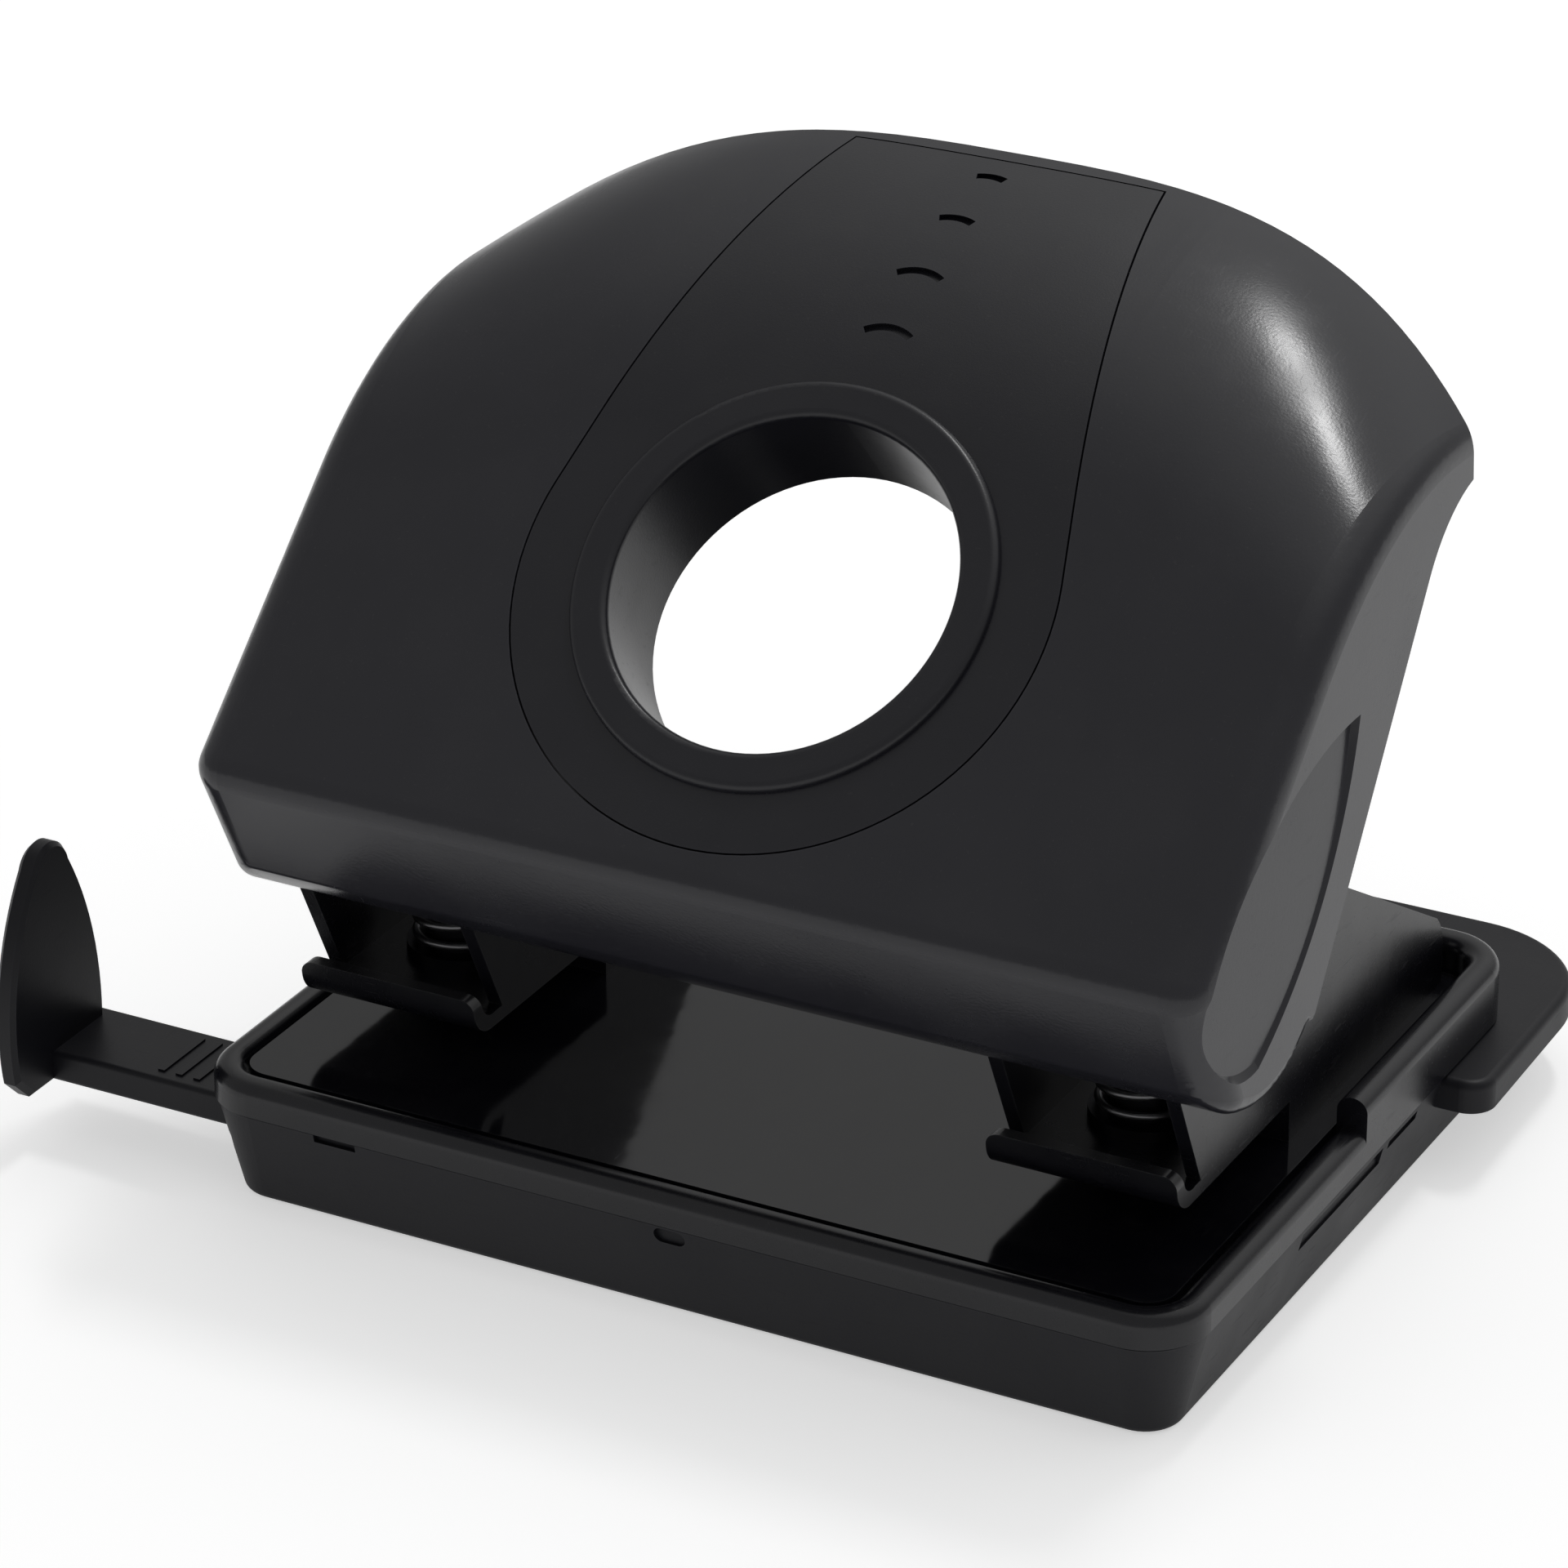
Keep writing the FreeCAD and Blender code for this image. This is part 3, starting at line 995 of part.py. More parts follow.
# --- Write every node -------------------------------------------------------------
def build():
    """Make all sub-parts and write one STEP file for each."""
    single = {
        "base_frame": make_base_frame,
        "base_plate": make_base_plate,
        "bracket_rivets": make_bracket_rivets,
        "shaft_clips": make_shaft_clips,
        "tray_hinge_pins": make_tray_hinge_pins,
        "guide_spring": make_guide_spring,
        "paper_guide": make_paper_guide,
        "chip_tray": make_chip_tray,
        "handle_shell": make_handle_shell,
        "tongue_inlay": make_tongue_inlay,
        "lever_screws": make_lever_screws,
    }
    paired = {
        "bracket": make_bracket,
        "pivot_shaft": make_pivot_shaft,
        "guide_bush": make_guide_bush,
        "punch_pin": make_punch_pin,
        "spring_washer": make_spring_washer,
        "punch_spring": make_punch_spring,
        "press_lever": make_press_lever,
        "press_roller": make_press_roller,
    }
    os.makedirs("parts", exist_ok=True)
    nodes = {name: make() for name, make in single.items()}
    for name, make in paired.items():
        right = make()
        nodes[name + "_right"] = right
        nodes[name + "_left"] = mirrored(right)
    for name, shape in sorted(nodes.items()):
        shape.exportStep(os.path.join("parts", name + ".step"))
        print(f"{name:20s} solids {len(shape.Solids)} valid {shape.isValid()} volume {shape.Volume:9.1f}")
    print(f"pin travel {PIN_TRAVEL:.3f} mm over {PRESS_ANGLE} degrees")


build()
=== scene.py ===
"""Two-hole desk punch: finishes, coil springs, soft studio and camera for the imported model."""

import math

import bpy
from bpy.props import FloatProperty, FloatVectorProperty, IntProperty, PointerProperty
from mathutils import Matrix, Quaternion, Vector


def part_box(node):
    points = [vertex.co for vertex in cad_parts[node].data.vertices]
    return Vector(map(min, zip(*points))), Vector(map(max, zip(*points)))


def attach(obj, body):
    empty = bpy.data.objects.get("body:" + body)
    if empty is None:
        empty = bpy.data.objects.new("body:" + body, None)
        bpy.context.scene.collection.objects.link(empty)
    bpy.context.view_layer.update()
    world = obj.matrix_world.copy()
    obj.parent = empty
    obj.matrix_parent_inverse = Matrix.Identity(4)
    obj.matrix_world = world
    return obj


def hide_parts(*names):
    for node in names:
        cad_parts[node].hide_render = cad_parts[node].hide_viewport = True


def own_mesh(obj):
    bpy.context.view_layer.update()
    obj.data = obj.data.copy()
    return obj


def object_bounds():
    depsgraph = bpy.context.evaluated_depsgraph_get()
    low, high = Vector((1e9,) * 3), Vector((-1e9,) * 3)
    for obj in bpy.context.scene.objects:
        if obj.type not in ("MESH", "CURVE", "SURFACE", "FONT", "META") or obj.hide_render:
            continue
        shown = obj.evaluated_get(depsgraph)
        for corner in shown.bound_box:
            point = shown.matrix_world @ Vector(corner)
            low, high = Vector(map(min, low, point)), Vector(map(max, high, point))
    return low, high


bl_info = {
    "name": "Two-hole desk punch",
    "version": (1, 0, 0),
    "blender": (4, 5, 0),
    "location": "3D View > Sidebar > Hole punch",
    "description": "Finishes, springs, light and camera for a packed hole punch",
    "category": "Object",
}

SIDES = ("left", "right")
MM = 0.001

# Stage, in metres; the ways are directions from the punch.
CAMERA_TARGET = (0.0, -0.0175, 0.05)
SENSOR_WIDTH = 36.0    # millimetres
GLOW_WAY = (0.15, 0.50, 0.85)
KEY_WAY = (0.02, 0.46, 0.89)
KEY_SIZE = (0.32, 0.10)
KEY_DISTANCE = 1.2
KEY_ROLL = math.radians(-43)
FLOOR_HALF = 3.0
FLOOR_GAP = 0.05 * MM

# Coil springs
STEPS_PER_TURN = 40
WIRE_SIDES = 14
DEAD_PITCH = 0.96      # of the closed turns, in wire diameters
GROUND_OFF = 0.2       # of the end turns, in wire diameters

# How far the streaks of a metal reach along each axis; a low number draws them out.
EVEN = (1.0, 1.0, 1.0)
ALONG_X = (0.05, 1.0, 1.0)
ALONG_Y = (1.0, 0.05, 1.0)
ALONG_WIRE = (1.0, 1.0, 0.2)
AROUND = (0.04, 0.04, 1.0)

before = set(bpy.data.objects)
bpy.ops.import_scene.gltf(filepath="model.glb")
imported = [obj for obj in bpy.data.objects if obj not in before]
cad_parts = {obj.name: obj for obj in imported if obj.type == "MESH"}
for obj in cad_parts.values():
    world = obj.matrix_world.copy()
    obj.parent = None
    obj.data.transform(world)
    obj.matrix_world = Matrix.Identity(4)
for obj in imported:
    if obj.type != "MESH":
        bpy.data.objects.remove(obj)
CAD_BOX = [list(corner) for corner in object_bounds()]


# --- Settings that a user may change ---------------------------------------------
def colour(name, description, default):
    """A linear colour setting."""
    return FloatVectorProperty(name=name, description=description, default=default,
                               subtype="COLOR", size=3, min=0.0, max=1.0)


def length(name, description, default):
    """A length setting in metres."""
    return FloatProperty(name=name, description=description, default=default,
                         unit="LENGTH", subtype="DISTANCE", min=0.0, precision=4)


class PunchSprings(bpy.types.PropertyGroup):
    """Sizes of the two return springs."""

    wire: length("Wire", "Diameter of the spring wire", 0.9 * MM)
    turns: IntProperty(name="Active turns", description="Turns between the closed ends", default=6, min=2)
    closed: IntProperty(name="Closed turns", description="Dead turns at each end", default=1, min=0)


class PunchColours(bpy.types.PropertyGroup):
    """Base colours of the finishes."""

    handle: colour("Handle", "Moulded handle shell", (0.0190, 0.0190, 0.0240))
    inlay: colour("Tongue", "Soft inlay on the face of the handle", (0.0095, 0.0095, 0.0135))
    base: colour("Base", "Moulded frame of the base", (0.0060, 0.0060, 0.0085))
    tray: colour("Tray", "Soft chip tray", (0.0090, 0.0090, 0.0120))
    guide: colour("Guide", "Sliding paper guide", (0.0045, 0.0045, 0.0070))
    enamel: colour("Enamel", "Enamel of the plate and the brackets", (0.0035, 0.0035, 0.0055))
    zinc: colour("Zinc", "Zinc plated pressings and screws", (0.52, 0.53, 0.54))
    steel: colour("Steel", "Ground steel of the punch pins", (0.58, 0.58, 0.59))
    wire: colour("Spring wire", "Drawn spring wire", (0.34, 0.34, 0.35))
    # Painted shade: the bush colour is made near black so that the inside of the jaws reads as deep shade.
    bush: colour("Bush", "Blackened steel of the guide bushes", (0.045, 0.045, 0.050))
    dust: colour("Dust", "Paper dust that settles on top", (0.42, 0.40, 0.37))
    floor: colour("Floor", "Plain pale floor", (0.86, 0.86, 0.86))


class PunchStudio(bpy.types.PropertyGroup):
    """Camera and lights."""

    azimuth: FloatProperty(name="Azimuth", description="Camera angle round the punch",
                           default=math.radians(28.14), subtype="ANGLE")
    elevation: FloatProperty(name="Elevation", description="Camera angle above the floor",
                             default=math.radians(25.77), subtype="ANGLE")
    roll: FloatProperty(name="Roll", description="Camera tilt about its own axis",
                        default=math.radians(-0.22), subtype="ANGLE")
    distance: length("Distance", "Camera to the middle of the punch", 0.6458)
    lens: FloatProperty(name="Lens", description="Focal length in millimetres", default=146.5, min=1.0)
    back_room: FloatProperty(name="Back", description="Brightness behind the punch", default=0.34, min=0.0)
    front_room: FloatProperty(name="Front", description="Brightness at the camera's side",
                              default=0.34, min=0.0)
    glow: FloatProperty(name="Glow", description="Added brightness high on the right", default=0.45, min=0.0)
    key: FloatProperty(name="Softbox", description="Power of the strip softbox above the shoulder",
                       default=2.6, unit="POWER", min=0.0)
    floor_lift: FloatProperty(name="Floor lift", description="Brightness added to the floor that is seen",
                              default=0.50, min=0.0)


# --- Node building blocks ----------------------------------------------------------
def add(tree, kind, inputs=None, **settings):
    """Add a shader node, then set or link its inputs."""
    node = tree.nodes.new("ShaderNode" + kind)
    node.location = (180 * len(tree.nodes), 0)
    for name, value in settings.items():
        setattr(node, name, value)
    for name, value in (inputs or {}).items():
        if isinstance(value, bpy.types.NodeSocket):
            tree.links.new(value, node.inputs[name])
        else:
            node.inputs[name].default_value = value
    return node


def math_node(tree, operation, *values, clamp=False):
    """Output of a Math node."""
    return add(tree, "Math", dict(enumerate(values)), operation=operation, use_clamp=clamp).outputs[0]


def ramp(tree, value, low, high, to_low=0.0, to_high=1.0):
    """Value carried smoothly from one range to another."""
    node = add(tree, "MapRange", {"Value": value, "From Min": low, "From Max": high,
                                  "To Min": to_low, "To Max": to_high},
               interpolation_type="SMOOTHSTEP")
    return node.outputs["Result"]


def blend_colour(tree, share, first, second):
    """Two colours mixed by a mask."""
    node = tree.nodes.new("ShaderNodeMix")
    node.location = (180 * len(tree.nodes), 0)
    node.data_type = "RGBA"
    for index, value in ((0, share), (6, first), (7, second)):
        if isinstance(value, bpy.types.NodeSocket):
            tree.links.new(value, node.inputs[index])
        else:
            node.inputs[index].default_value = value if index == 0 else (*value, 1.0)
    return node.outputs[2]


def noise(tree, place, scale, detail=2.0, roughness=0.5):
    """Noise value at a place; the scale is in turns per metre."""
    return add(tree, "TexNoise", {"Vector": place, "Scale": scale, "Detail": detail,
                                  "Roughness": roughness}).outputs[0]


def stretched(tree, place, scale):
    """The place stretched along its axes."""
    return add(tree, "VectorMath", {0: place, 1: scale}, operation="MULTIPLY").outputs[0]


def new_group(name, inputs, outputs):
    """An empty node group with its sockets, its input node and its output node."""
    tree = bpy.data.node_groups.new(name, "ShaderNodeTree")
    for label, kind, value in inputs:
        socket = tree.interface.new_socket(label, in_out="INPUT", socket_type="NodeSocket" + kind)
        socket.default_value = value
    for label, kind in outputs:
        tree.interface.new_socket(label, in_out="OUTPUT", socket_type="NodeSocket" + kind)
    return tree, tree.nodes.new("NodeGroupInput").outputs, tree.nodes.new("NodeGroupOutput").inputs


def use_group(tree, name, **inputs):
    """Outputs of a placed node group."""
    node = tree.nodes.new("ShaderNodeGroup")
    node.node_tree = bpy.data.node_groups[name]
    node.location = (180 * len(tree.nodes), 0)
    for label, value in inputs.items():
        node.inputs[label.replace("_", " ").capitalize()].default_value = value
    return node.outputs


# --- Shared effects ----------------------------------------------------------------
def build_moulded_skin():
    """Fine eroded grain of a mould, with the slow waviness of a cooled wall."""
    tree, given, out = new_group(
        "moulded_skin",
        (("Grain size", "Float", 0.3 * MM), ("Wave size", "Float", 14 * MM)),
        (("Grain", "Float"), ("Wave", "Float")))
    place = add(tree, "TexCoord").outputs["Object"]
    fine = math_node(tree, "DIVIDE", 1.0, given["Grain size"])
    slow = math_node(tree, "DIVIDE", 1.0, given["Wave size"])
    cells = add(tree, "TexVoronoi", {"Vector": place, "Scale": fine}, feature="F1").outputs["Distance"]
    grain = math_node(tree, "MULTIPLY_ADD", cells, 0.5, noise(tree, place, fine, 3.0, 0.65))
    tree.links.new(math_node(tree, "MULTIPLY", grain, 0.6), out["Grain"])
    tree.links.new(noise(tree, place, slow, 1.0), out["Wave"])


def build_edges_worn_and_highlit():
    """Mask of the outer edges, broken up as handling breaks it; the finishes lighten along it, partly as
    wear and partly as a painted highlight.
    """
    tree, given, out = new_group(
        "edges_worn_and_highlit",
        (("Width", "Float", 0.4 * MM), ("Amount", "Float", 1.0)),
        (("Edge", "Float"),))
    round_normal = add(tree, "Bevel", {"Radius": given["Width"]}, samples=4).outputs["Normal"]
    flat_normal = add(tree, "NewGeometry").outputs["Normal"]
    both = {0: round_normal, 1: flat_normal}
    alike = add(tree, "VectorMath", both, operation="DOT_PRODUCT").outputs["Value"]
    edge = ramp(tree, alike, 0.995, 0.90)
    place = add(tree, "TexCoord").outputs["Object"]
    broken = ramp(tree, noise(tree, place, 420.0, 4.0, 0.7), 0.35, 0.65, 0.35, 1.0)
    worn = math_node(tree, "MULTIPLY", edge, broken)
    tree.links.new(math_node(tree, "MULTIPLY", worn, given["Amount"], clamp=True), out["Edge"])


def build_settled_dust():
    """Mask of paper dust: faint specks that lie where the surface looks up."""
    tree, given, out = new_group("settled_dust", (("Amount", "Float", 0.1),), (("Dust", "Float"),))
    coordinates = add(tree, "TexCoord").outputs
    up = add(tree, "SeparateXYZ", {0: coordinates["Normal"]}).outputs["Z"]
    level = ramp(tree, up, 0.35, 1.0)
    patches = ramp(tree, noise(tree, coordinates["Object"], 90.0, 3.0, 0.6), 0.40, 0.72)
    specks = ramp(tree, noise(tree, coordinates["Object"], 2600.0, 1.0), 0.70, 0.78)
    film = math_node(tree, "MULTIPLY_ADD", specks, 0.8, math_node(tree, "MULTIPLY", patches, 0.25))
    lying = math_node(tree, "MULTIPLY", film, level)
    tree.links.new(math_node(tree, "MULTIPLY", lying, given["Amount"], clamp=True), out["Dust"])


def build_handling_marks():
    """Smudges from fingers and fine rubs in two directions."""
    tree, given, out = new_group(
        "handling_marks",
        (("Rub size", "Float", 0.25 * MM),),
        (("Smudge", "Float"), ("Rub", "Float")))
    place = add(tree, "TexCoord").outputs["Object"]
    fine = math_node(tree, "DIVIDE", 1.0, given["Rub size"])
    smudge = ramp(tree, noise(tree, place, 55.0, 4.0, 0.55), 0.42, 0.68)
    along = ramp(tree, noise(tree, stretched(tree, place, (1.0, 0.05, 0.3)), fine, 1.0), 0.66, 0.74)
    across = ramp(tree, noise(tree, stretched(tree, place, (0.06, 1.0, 0.4)), fine, 1.0), 0.68, 0.76)
    tree.links.new(smudge, out["Smudge"])
    tree.links.new(math_node(tree, "MAXIMUM", along, across), out["Rub"])


def build_drawn_metal():
    """Streaks that a roller, a wheel or a lathe leaves along one direction."""
    tree, given, out = new_group(
        "drawn_metal",
        (("Stretch", "Vector", (1.0, 0.03, 1.0)), ("Streak size", "Float", 0.15 * MM)),
        (("Streak", "Float"), ("Cloud", "Float")))
    place = add(tree, "TexCoord").outputs["Object"]
    fine = math_node(tree, "DIVIDE", 1.0, given["Streak size"])
    streak = noise(tree, stretched(tree, place, given["Stretch"]), fine, 3.0, 0.6)
    tree.links.new(streak, out["Streak"])
    tree.links.new(noise(tree, place, 260.0, 3.0, 0.6), out["Cloud"])


# --- Finishes -----------------------------------------------------------------------
def new_finish(name):
    """A material with its Principled shader."""
    material = bpy.data.materials.new(name)
    material.use_nodes = True
    return material, material.node_tree, material.node_tree.nodes["Principled BSDF"]


def raise_surface(tree, shader, height, depth):
    """Relief of a height map on the shader; the depth is in metres."""
    bump = add(tree, "Bump", {"Height": height, "Distance": depth, "Strength": 1.0})
    tree.links.new(bump.outputs["Normal"], shader.inputs["Normal"])


def moulded(name, base, polish, grain_size, grain_depth, edge_shine, dust_amount, specular=0.5):
    """Moulded black plastic: grain, edges polished by use and painted paler (partly wear, partly a painted
    highlight), smudges and paper dust.
    """
    material, tree, shader = new_finish(name)
    colours = bpy.context.scene.punch_colours
    skin = use_group(tree, "moulded_skin", grain_size=grain_size)
    edge = use_group(tree, "edges_worn_and_highlit", width=0.35 * MM)["Edge"]
    dust = use_group(tree, "settled_dust", amount=dust_amount)["Dust"]
    marks = use_group(tree, "handling_marks")
    # Paler edge colour: partly wear, partly a painted highlight along the edges.
    pale = tuple(min(1.0, 1.9 * c + 0.004) for c in base)
    deep = tuple(0.86 * c for c in base)
    tint = blend_colour(tree, skin["Wave"], deep, base)
    tint = blend_colour(tree, math_node(tree, "MULTIPLY", edge, 0.55), tint, pale)
    tint = blend_colour(tree, dust, tint, tuple(colours.dust))
    tree.links.new(tint, shader.inputs["Base Color"])
    rough = math_node(tree, "MULTIPLY_ADD", skin["Wave"], 0.05, polish)
    rough = math_node(tree, "MULTIPLY_ADD", marks["Smudge"], 0.06, rough)
    rough = math_node(tree, "MULTIPLY_ADD", marks["Rub"], 0.05, rough)
    rough = math_node(tree, "MULTIPLY_ADD", edge, -edge_shine, rough)
    rough = math_node(tree, "MULTIPLY_ADD", dust, 0.5, rough, clamp=True)
    tree.links.new(rough, shader.inputs["Roughness"])
    shader.inputs["Specular IOR Level"].default_value = specular
    slow = math_node(tree, "MULTIPLY_ADD", skin["Wave"], 0.35, skin["Grain"])
    raise_surface(tree, shader, slow, grain_depth)
    return material


def enamelled(name, base, polish, dust_amount, rub_share):
    """Baked black enamel on sheet steel, thin and lighter at the edges (partly wear, partly a painted
    highlight) and rubbed by paper.
    """
    material, tree, shader = new_finish(name)
    colours = bpy.context.scene.punch_colours
    skin = use_group(tree, "moulded_skin", grain_size=0.8 * MM, wave_size=5 * MM)
    edge = use_group(tree, "edges_worn_and_highlit", width=0.25 * MM)["Edge"]
    dust = use_group(tree, "settled_dust", amount=dust_amount)["Dust"]
    marks = use_group(tree, "handling_marks", rub_size=0.18 * MM)
    bare = tuple(0.10 * c for c in colours.zinc)
    # The edges blend towards the bare colour: partly worn enamel, partly a painted highlight; the rubs are
    # wear only.
    tint = blend_colour(tree, math_node(tree, "MULTIPLY", edge, 0.5), base, bare)
    tint = blend_colour(tree, math_node(tree, "MULTIPLY", marks["Rub"], 0.08), tint, bare)
    tint = blend_colour(tree, dust, tint, tuple(colours.dust))
    tree.links.new(tint, shader.inputs["Base Color"])
    rough = math_node(tree, "MULTIPLY_ADD", skin["Wave"], 0.04, polish)
    rough = math_node(tree, "MULTIPLY_ADD", marks["Smudge"], 0.05, rough)
    rough = math_node(tree, "MULTIPLY_ADD", marks["Rub"], rub_share, rough)
    rough = math_node(tree, "MULTIPLY_ADD", dust, 0.5, rough, clamp=True)
    tree.links.new(rough, shader.inputs["Roughness"])
    raise_surface(tree, shader, skin["Wave"], 0.03 * MM)
    return material


def bare_metal(name, base, polish, stretch, streak_size, depth):
    """Plated, ground or turned metal with its streaks and a slight clouding."""
    material, tree, shader = new_finish(name)
    lines = use_group(tree, "drawn_metal", stretch=stretch, streak_size=streak_size)
    edge = use_group(tree, "edges_worn_and_highlit", width=0.2 * MM)["Edge"]
    dull = tuple(0.80 * c for c in base)
    bright = tuple(min(1.0, 1.2 * c) for c in base)
    tint = blend_colour(tree, lines["Cloud"], dull, base)
    # Brighter edge colour: partly burnished wear, partly a painted highlight.
    tint = blend_colour(tree, math_node(tree, "MULTIPLY", edge, 0.6), tint, bright)
    tree.links.new(tint, shader.inputs["Base Color"])
    rough = math_node(tree, "MULTIPLY_ADD", lines["Streak"], 0.16, polish - 0.08)
    rough = math_node(tree, "MULTIPLY_ADD", lines["Cloud"], 0.10, rough, clamp=True)
    tree.links.new(rough, shader.inputs["Roughness"])
    shader.inputs["Metallic"].default_value = 1.0
    raise_surface(tree, shader, lines["Streak"], depth)
    return material


def finish_nodes(material, *names):
    """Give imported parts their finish."""
    for name in names:
        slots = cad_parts[name].data.materials
        slots.clear()
        slots.append(material)


def on_both_sides(*stems):
    """Names of the parts that come as a left and right pair."""
    return [f"{stem}_{side}" for stem in stems for side in SIDES]


# --- Coil springs --------------------------------------------------------------------
def coil_path(foot, head, radius, wire, active, closed):
    """Points of a right-hand coil with closed ends, each with its turn angle."""
    turns = active + 2 * closed
    rise = head - foot - wire
    dead = wire * DEAD_PITCH
    points = []
    for i in range(turns * STEPS_PER_TURN + 1):
        t = i / STEPS_PER_TURN
        if t < closed:
            z = dead * t
        elif t > turns - closed:
            z = rise - dead * (turns - t)
        else:
            share = (t - closed) / active
            z = dead * closed + share * (rise - 2 * dead * closed)
        angle = 2 * math.pi * t
        place = (radius * math.cos(angle), radius * math.sin(angle), foot + wire / 2 + z)
        points.append((angle, Vector(place)))
    return points


def coil_mesh(name, centre, foot, head, radius, wire, active, closed):
    """Wire swept along the coil's path, its end turns ground flat."""
    sides = WIRE_SIDES
    points = coil_path(foot, head, radius, wire, active, closed)
    lowest, highest = foot + wire * GROUND_OFF, head - wire * GROUND_OFF
    vertices, faces = [], []
    for angle, middle in points:
        outward = Vector((math.cos(angle), math.sin(angle), 0))
        for k in range(sides):
            a = 2 * math.pi * k / sides
            spot = middle + (outward * math.cos(a) + Vector((0, 0, 1)) * math.sin(a)) * wire / 2
            spot.z = min(max(spot.z, lowest), highest)
            vertices.append(spot + centre)
    for ring in range(len(points) - 1):
        for k in range(sides):
            a, b = ring * sides + k, ring * sides + (k + 1) % sides
            faces.append((a, b, b + sides, a + sides))
    faces.append(tuple(range(sides))[::-1])
    last = (len(points) - 1) * sides
    faces.append(tuple(range(last, last + sides)))
    mesh = bpy.data.meshes.new(name)
    mesh.from_pydata(vertices, [], faces)
    mesh.validate()
    mesh.polygons.foreach_set("use_smooth", [True] * len(mesh.polygons))
    return mesh


# --- Stage ------------------------------------------------------------------------------
def place_camera(studio):
    """Camera at the chosen angle, looking at the middle of the punch."""
    a, e = studio.azimuth, studio.elevation
    back = Vector((math.sin(a) * math.cos(e), -math.cos(a) * math.cos(e), math.sin(e)))
    data = bpy.data.cameras.new("camera")
    data.lens, data.sensor_width = studio.lens, SENSOR_WIDTH
    data.clip_start, data.clip_end = 0.01, 20.0
    camera = bpy.data.objects.new("camera", data)
    camera.location = Vector(CAMERA_TARGET) + back * studio.distance
    camera.rotation_mode = "QUATERNION"
    level = (-back).to_track_quat("-Z", "Y")
    camera.rotation_quaternion = level @ Quaternion((0, 0, 1), studio.roll)
    bpy.context.scene.collection.objects.link(camera)
    bpy.context.scene.camera = camera


def place_softbox(power):
    """Strip softbox high behind the punch, whose mirror image lies on the right shoulder."""
    data = bpy.data.lights.new("softbox", "AREA")
    data.shape = "RECTANGLE"
    data.size, data.size_y = KEY_SIZE
    data.energy = power
    way = Vector(KEY_WAY).normalized()
    aim = Vector((CAD_BOX[1][0] * 0.6, 0, CAD_BOX[1][2] * 0.9))
    light = bpy.data.objects.new("softbox", data)
    light.location = aim + way * KEY_DISTANCE
    light.rotation_mode = "QUATERNION"
    light.rotation_quaternion = (-way).to_track_quat("-Z", "Y") @ Quaternion((0, 0, 1), KEY_ROLL)
    bpy.context.scene.collection.objects.link(light)


def paint_room(studio):
    """Pale room: dimmer at the front, with a soft glow high on the right, white to the camera."""
    world = bpy.data.worlds.new("room")
    world.use_nodes = True
    tree = world.node_tree
    way = add(tree, "TexCoord").outputs["Generated"]
    depth = add(tree, "SeparateXYZ", {0: way}).outputs["Y"]
    behind = ramp(tree, depth, -0.5, 0.6, studio.front_room, studio.back_room)
    towards = add(tree, "VectorMath", {0: way, 1: GLOW_WAY}, operation="DOT_PRODUCT").outputs["Value"]
    light = math_node(tree, "ADD", behind, ramp(tree, towards, 0.60, 1.0, 0.0, studio.glow))
    seen = add(tree, "LightPath").outputs["Is Camera Ray"]
    strength = add(tree, "Mix", {0: seen, 2: light, 3: 1.0}).outputs[0]
    tree.links.new(strength, tree.nodes["Background"].inputs["Strength"])
    tree.nodes["Background"].inputs["Color"].default_value = (1.0, 1.0, 1.0, 1.0)
    bpy.context.scene.world = world


def lay_floor(tint, lift):
    """Large pale floor under the tray, lifted to white where the camera sees it."""
    half = FLOOR_HALF
    level = CAD_BOX[0][2] - FLOOR_GAP
    mesh = bpy.data.meshes.new("floor")
    corners = ((-half, -half), (half, -half), (half, half), (-half, half))
    mesh.from_pydata([(x, y, level) for x, y in corners], [], [(0, 1, 2, 3)])
    floor = bpy.data.objects.new("floor", mesh)
    bpy.context.scene.collection.objects.link(floor)
    material, tree, shader = new_finish("pale_floor")
    place = add(tree, "TexCoord").outputs["Object"]
    shade = blend_colour(tree, noise(tree, place, 3.0), tuple(0.985 * c for c in tint), tuple(tint))
    tree.links.new(shade, shader.inputs["Base Color"])
    shader.inputs["Roughness"].default_value = 0.85
    shader.inputs["Specular IOR Level"].default_value = 0.1
    shader.inputs["Emission Color"].default_value = (1.0, 1.0, 1.0, 1.0)
    seen = add(tree, "LightPath").outputs["Is Camera Ray"]
    strength = math_node(tree, "MULTIPLY_ADD", seen, lift / 2, lift / 2)
    tree.links.new(strength, shader.inputs["Emission Strength"])
    mesh.materials.append(material)


# --- Operators ---------------------------------------------------------------------------
class PUNCH_OT_stage(bpy.types.Operator):
    """Set up the camera, the lights and the floor"""

    bl_idname = "punch.stage"
    bl_label = "Stage"

    def execute(self, context):
        studio = context.scene.punch_studio
        context.scene.view_settings.view_transform = "Standard"
        place_camera(studio)
        paint_room(studio)
        place_softbox(studio.key)
        lay_floor(context.scene.punch_colours.floor, studio.floor_lift)
        return {"FINISHED"}


class PUNCH_OT_effects(bpy.types.Operator):
    """Build the effects that several finishes share"""

    bl_idname = "punch.effects"
    bl_label = "Shared effects"

    def execute(self, context):
        build_moulded_skin()
        build_edges_worn_and_highlit()
        build_settled_dust()
        build_handling_marks()
        build_drawn_metal()
        return {"FINISHED"}


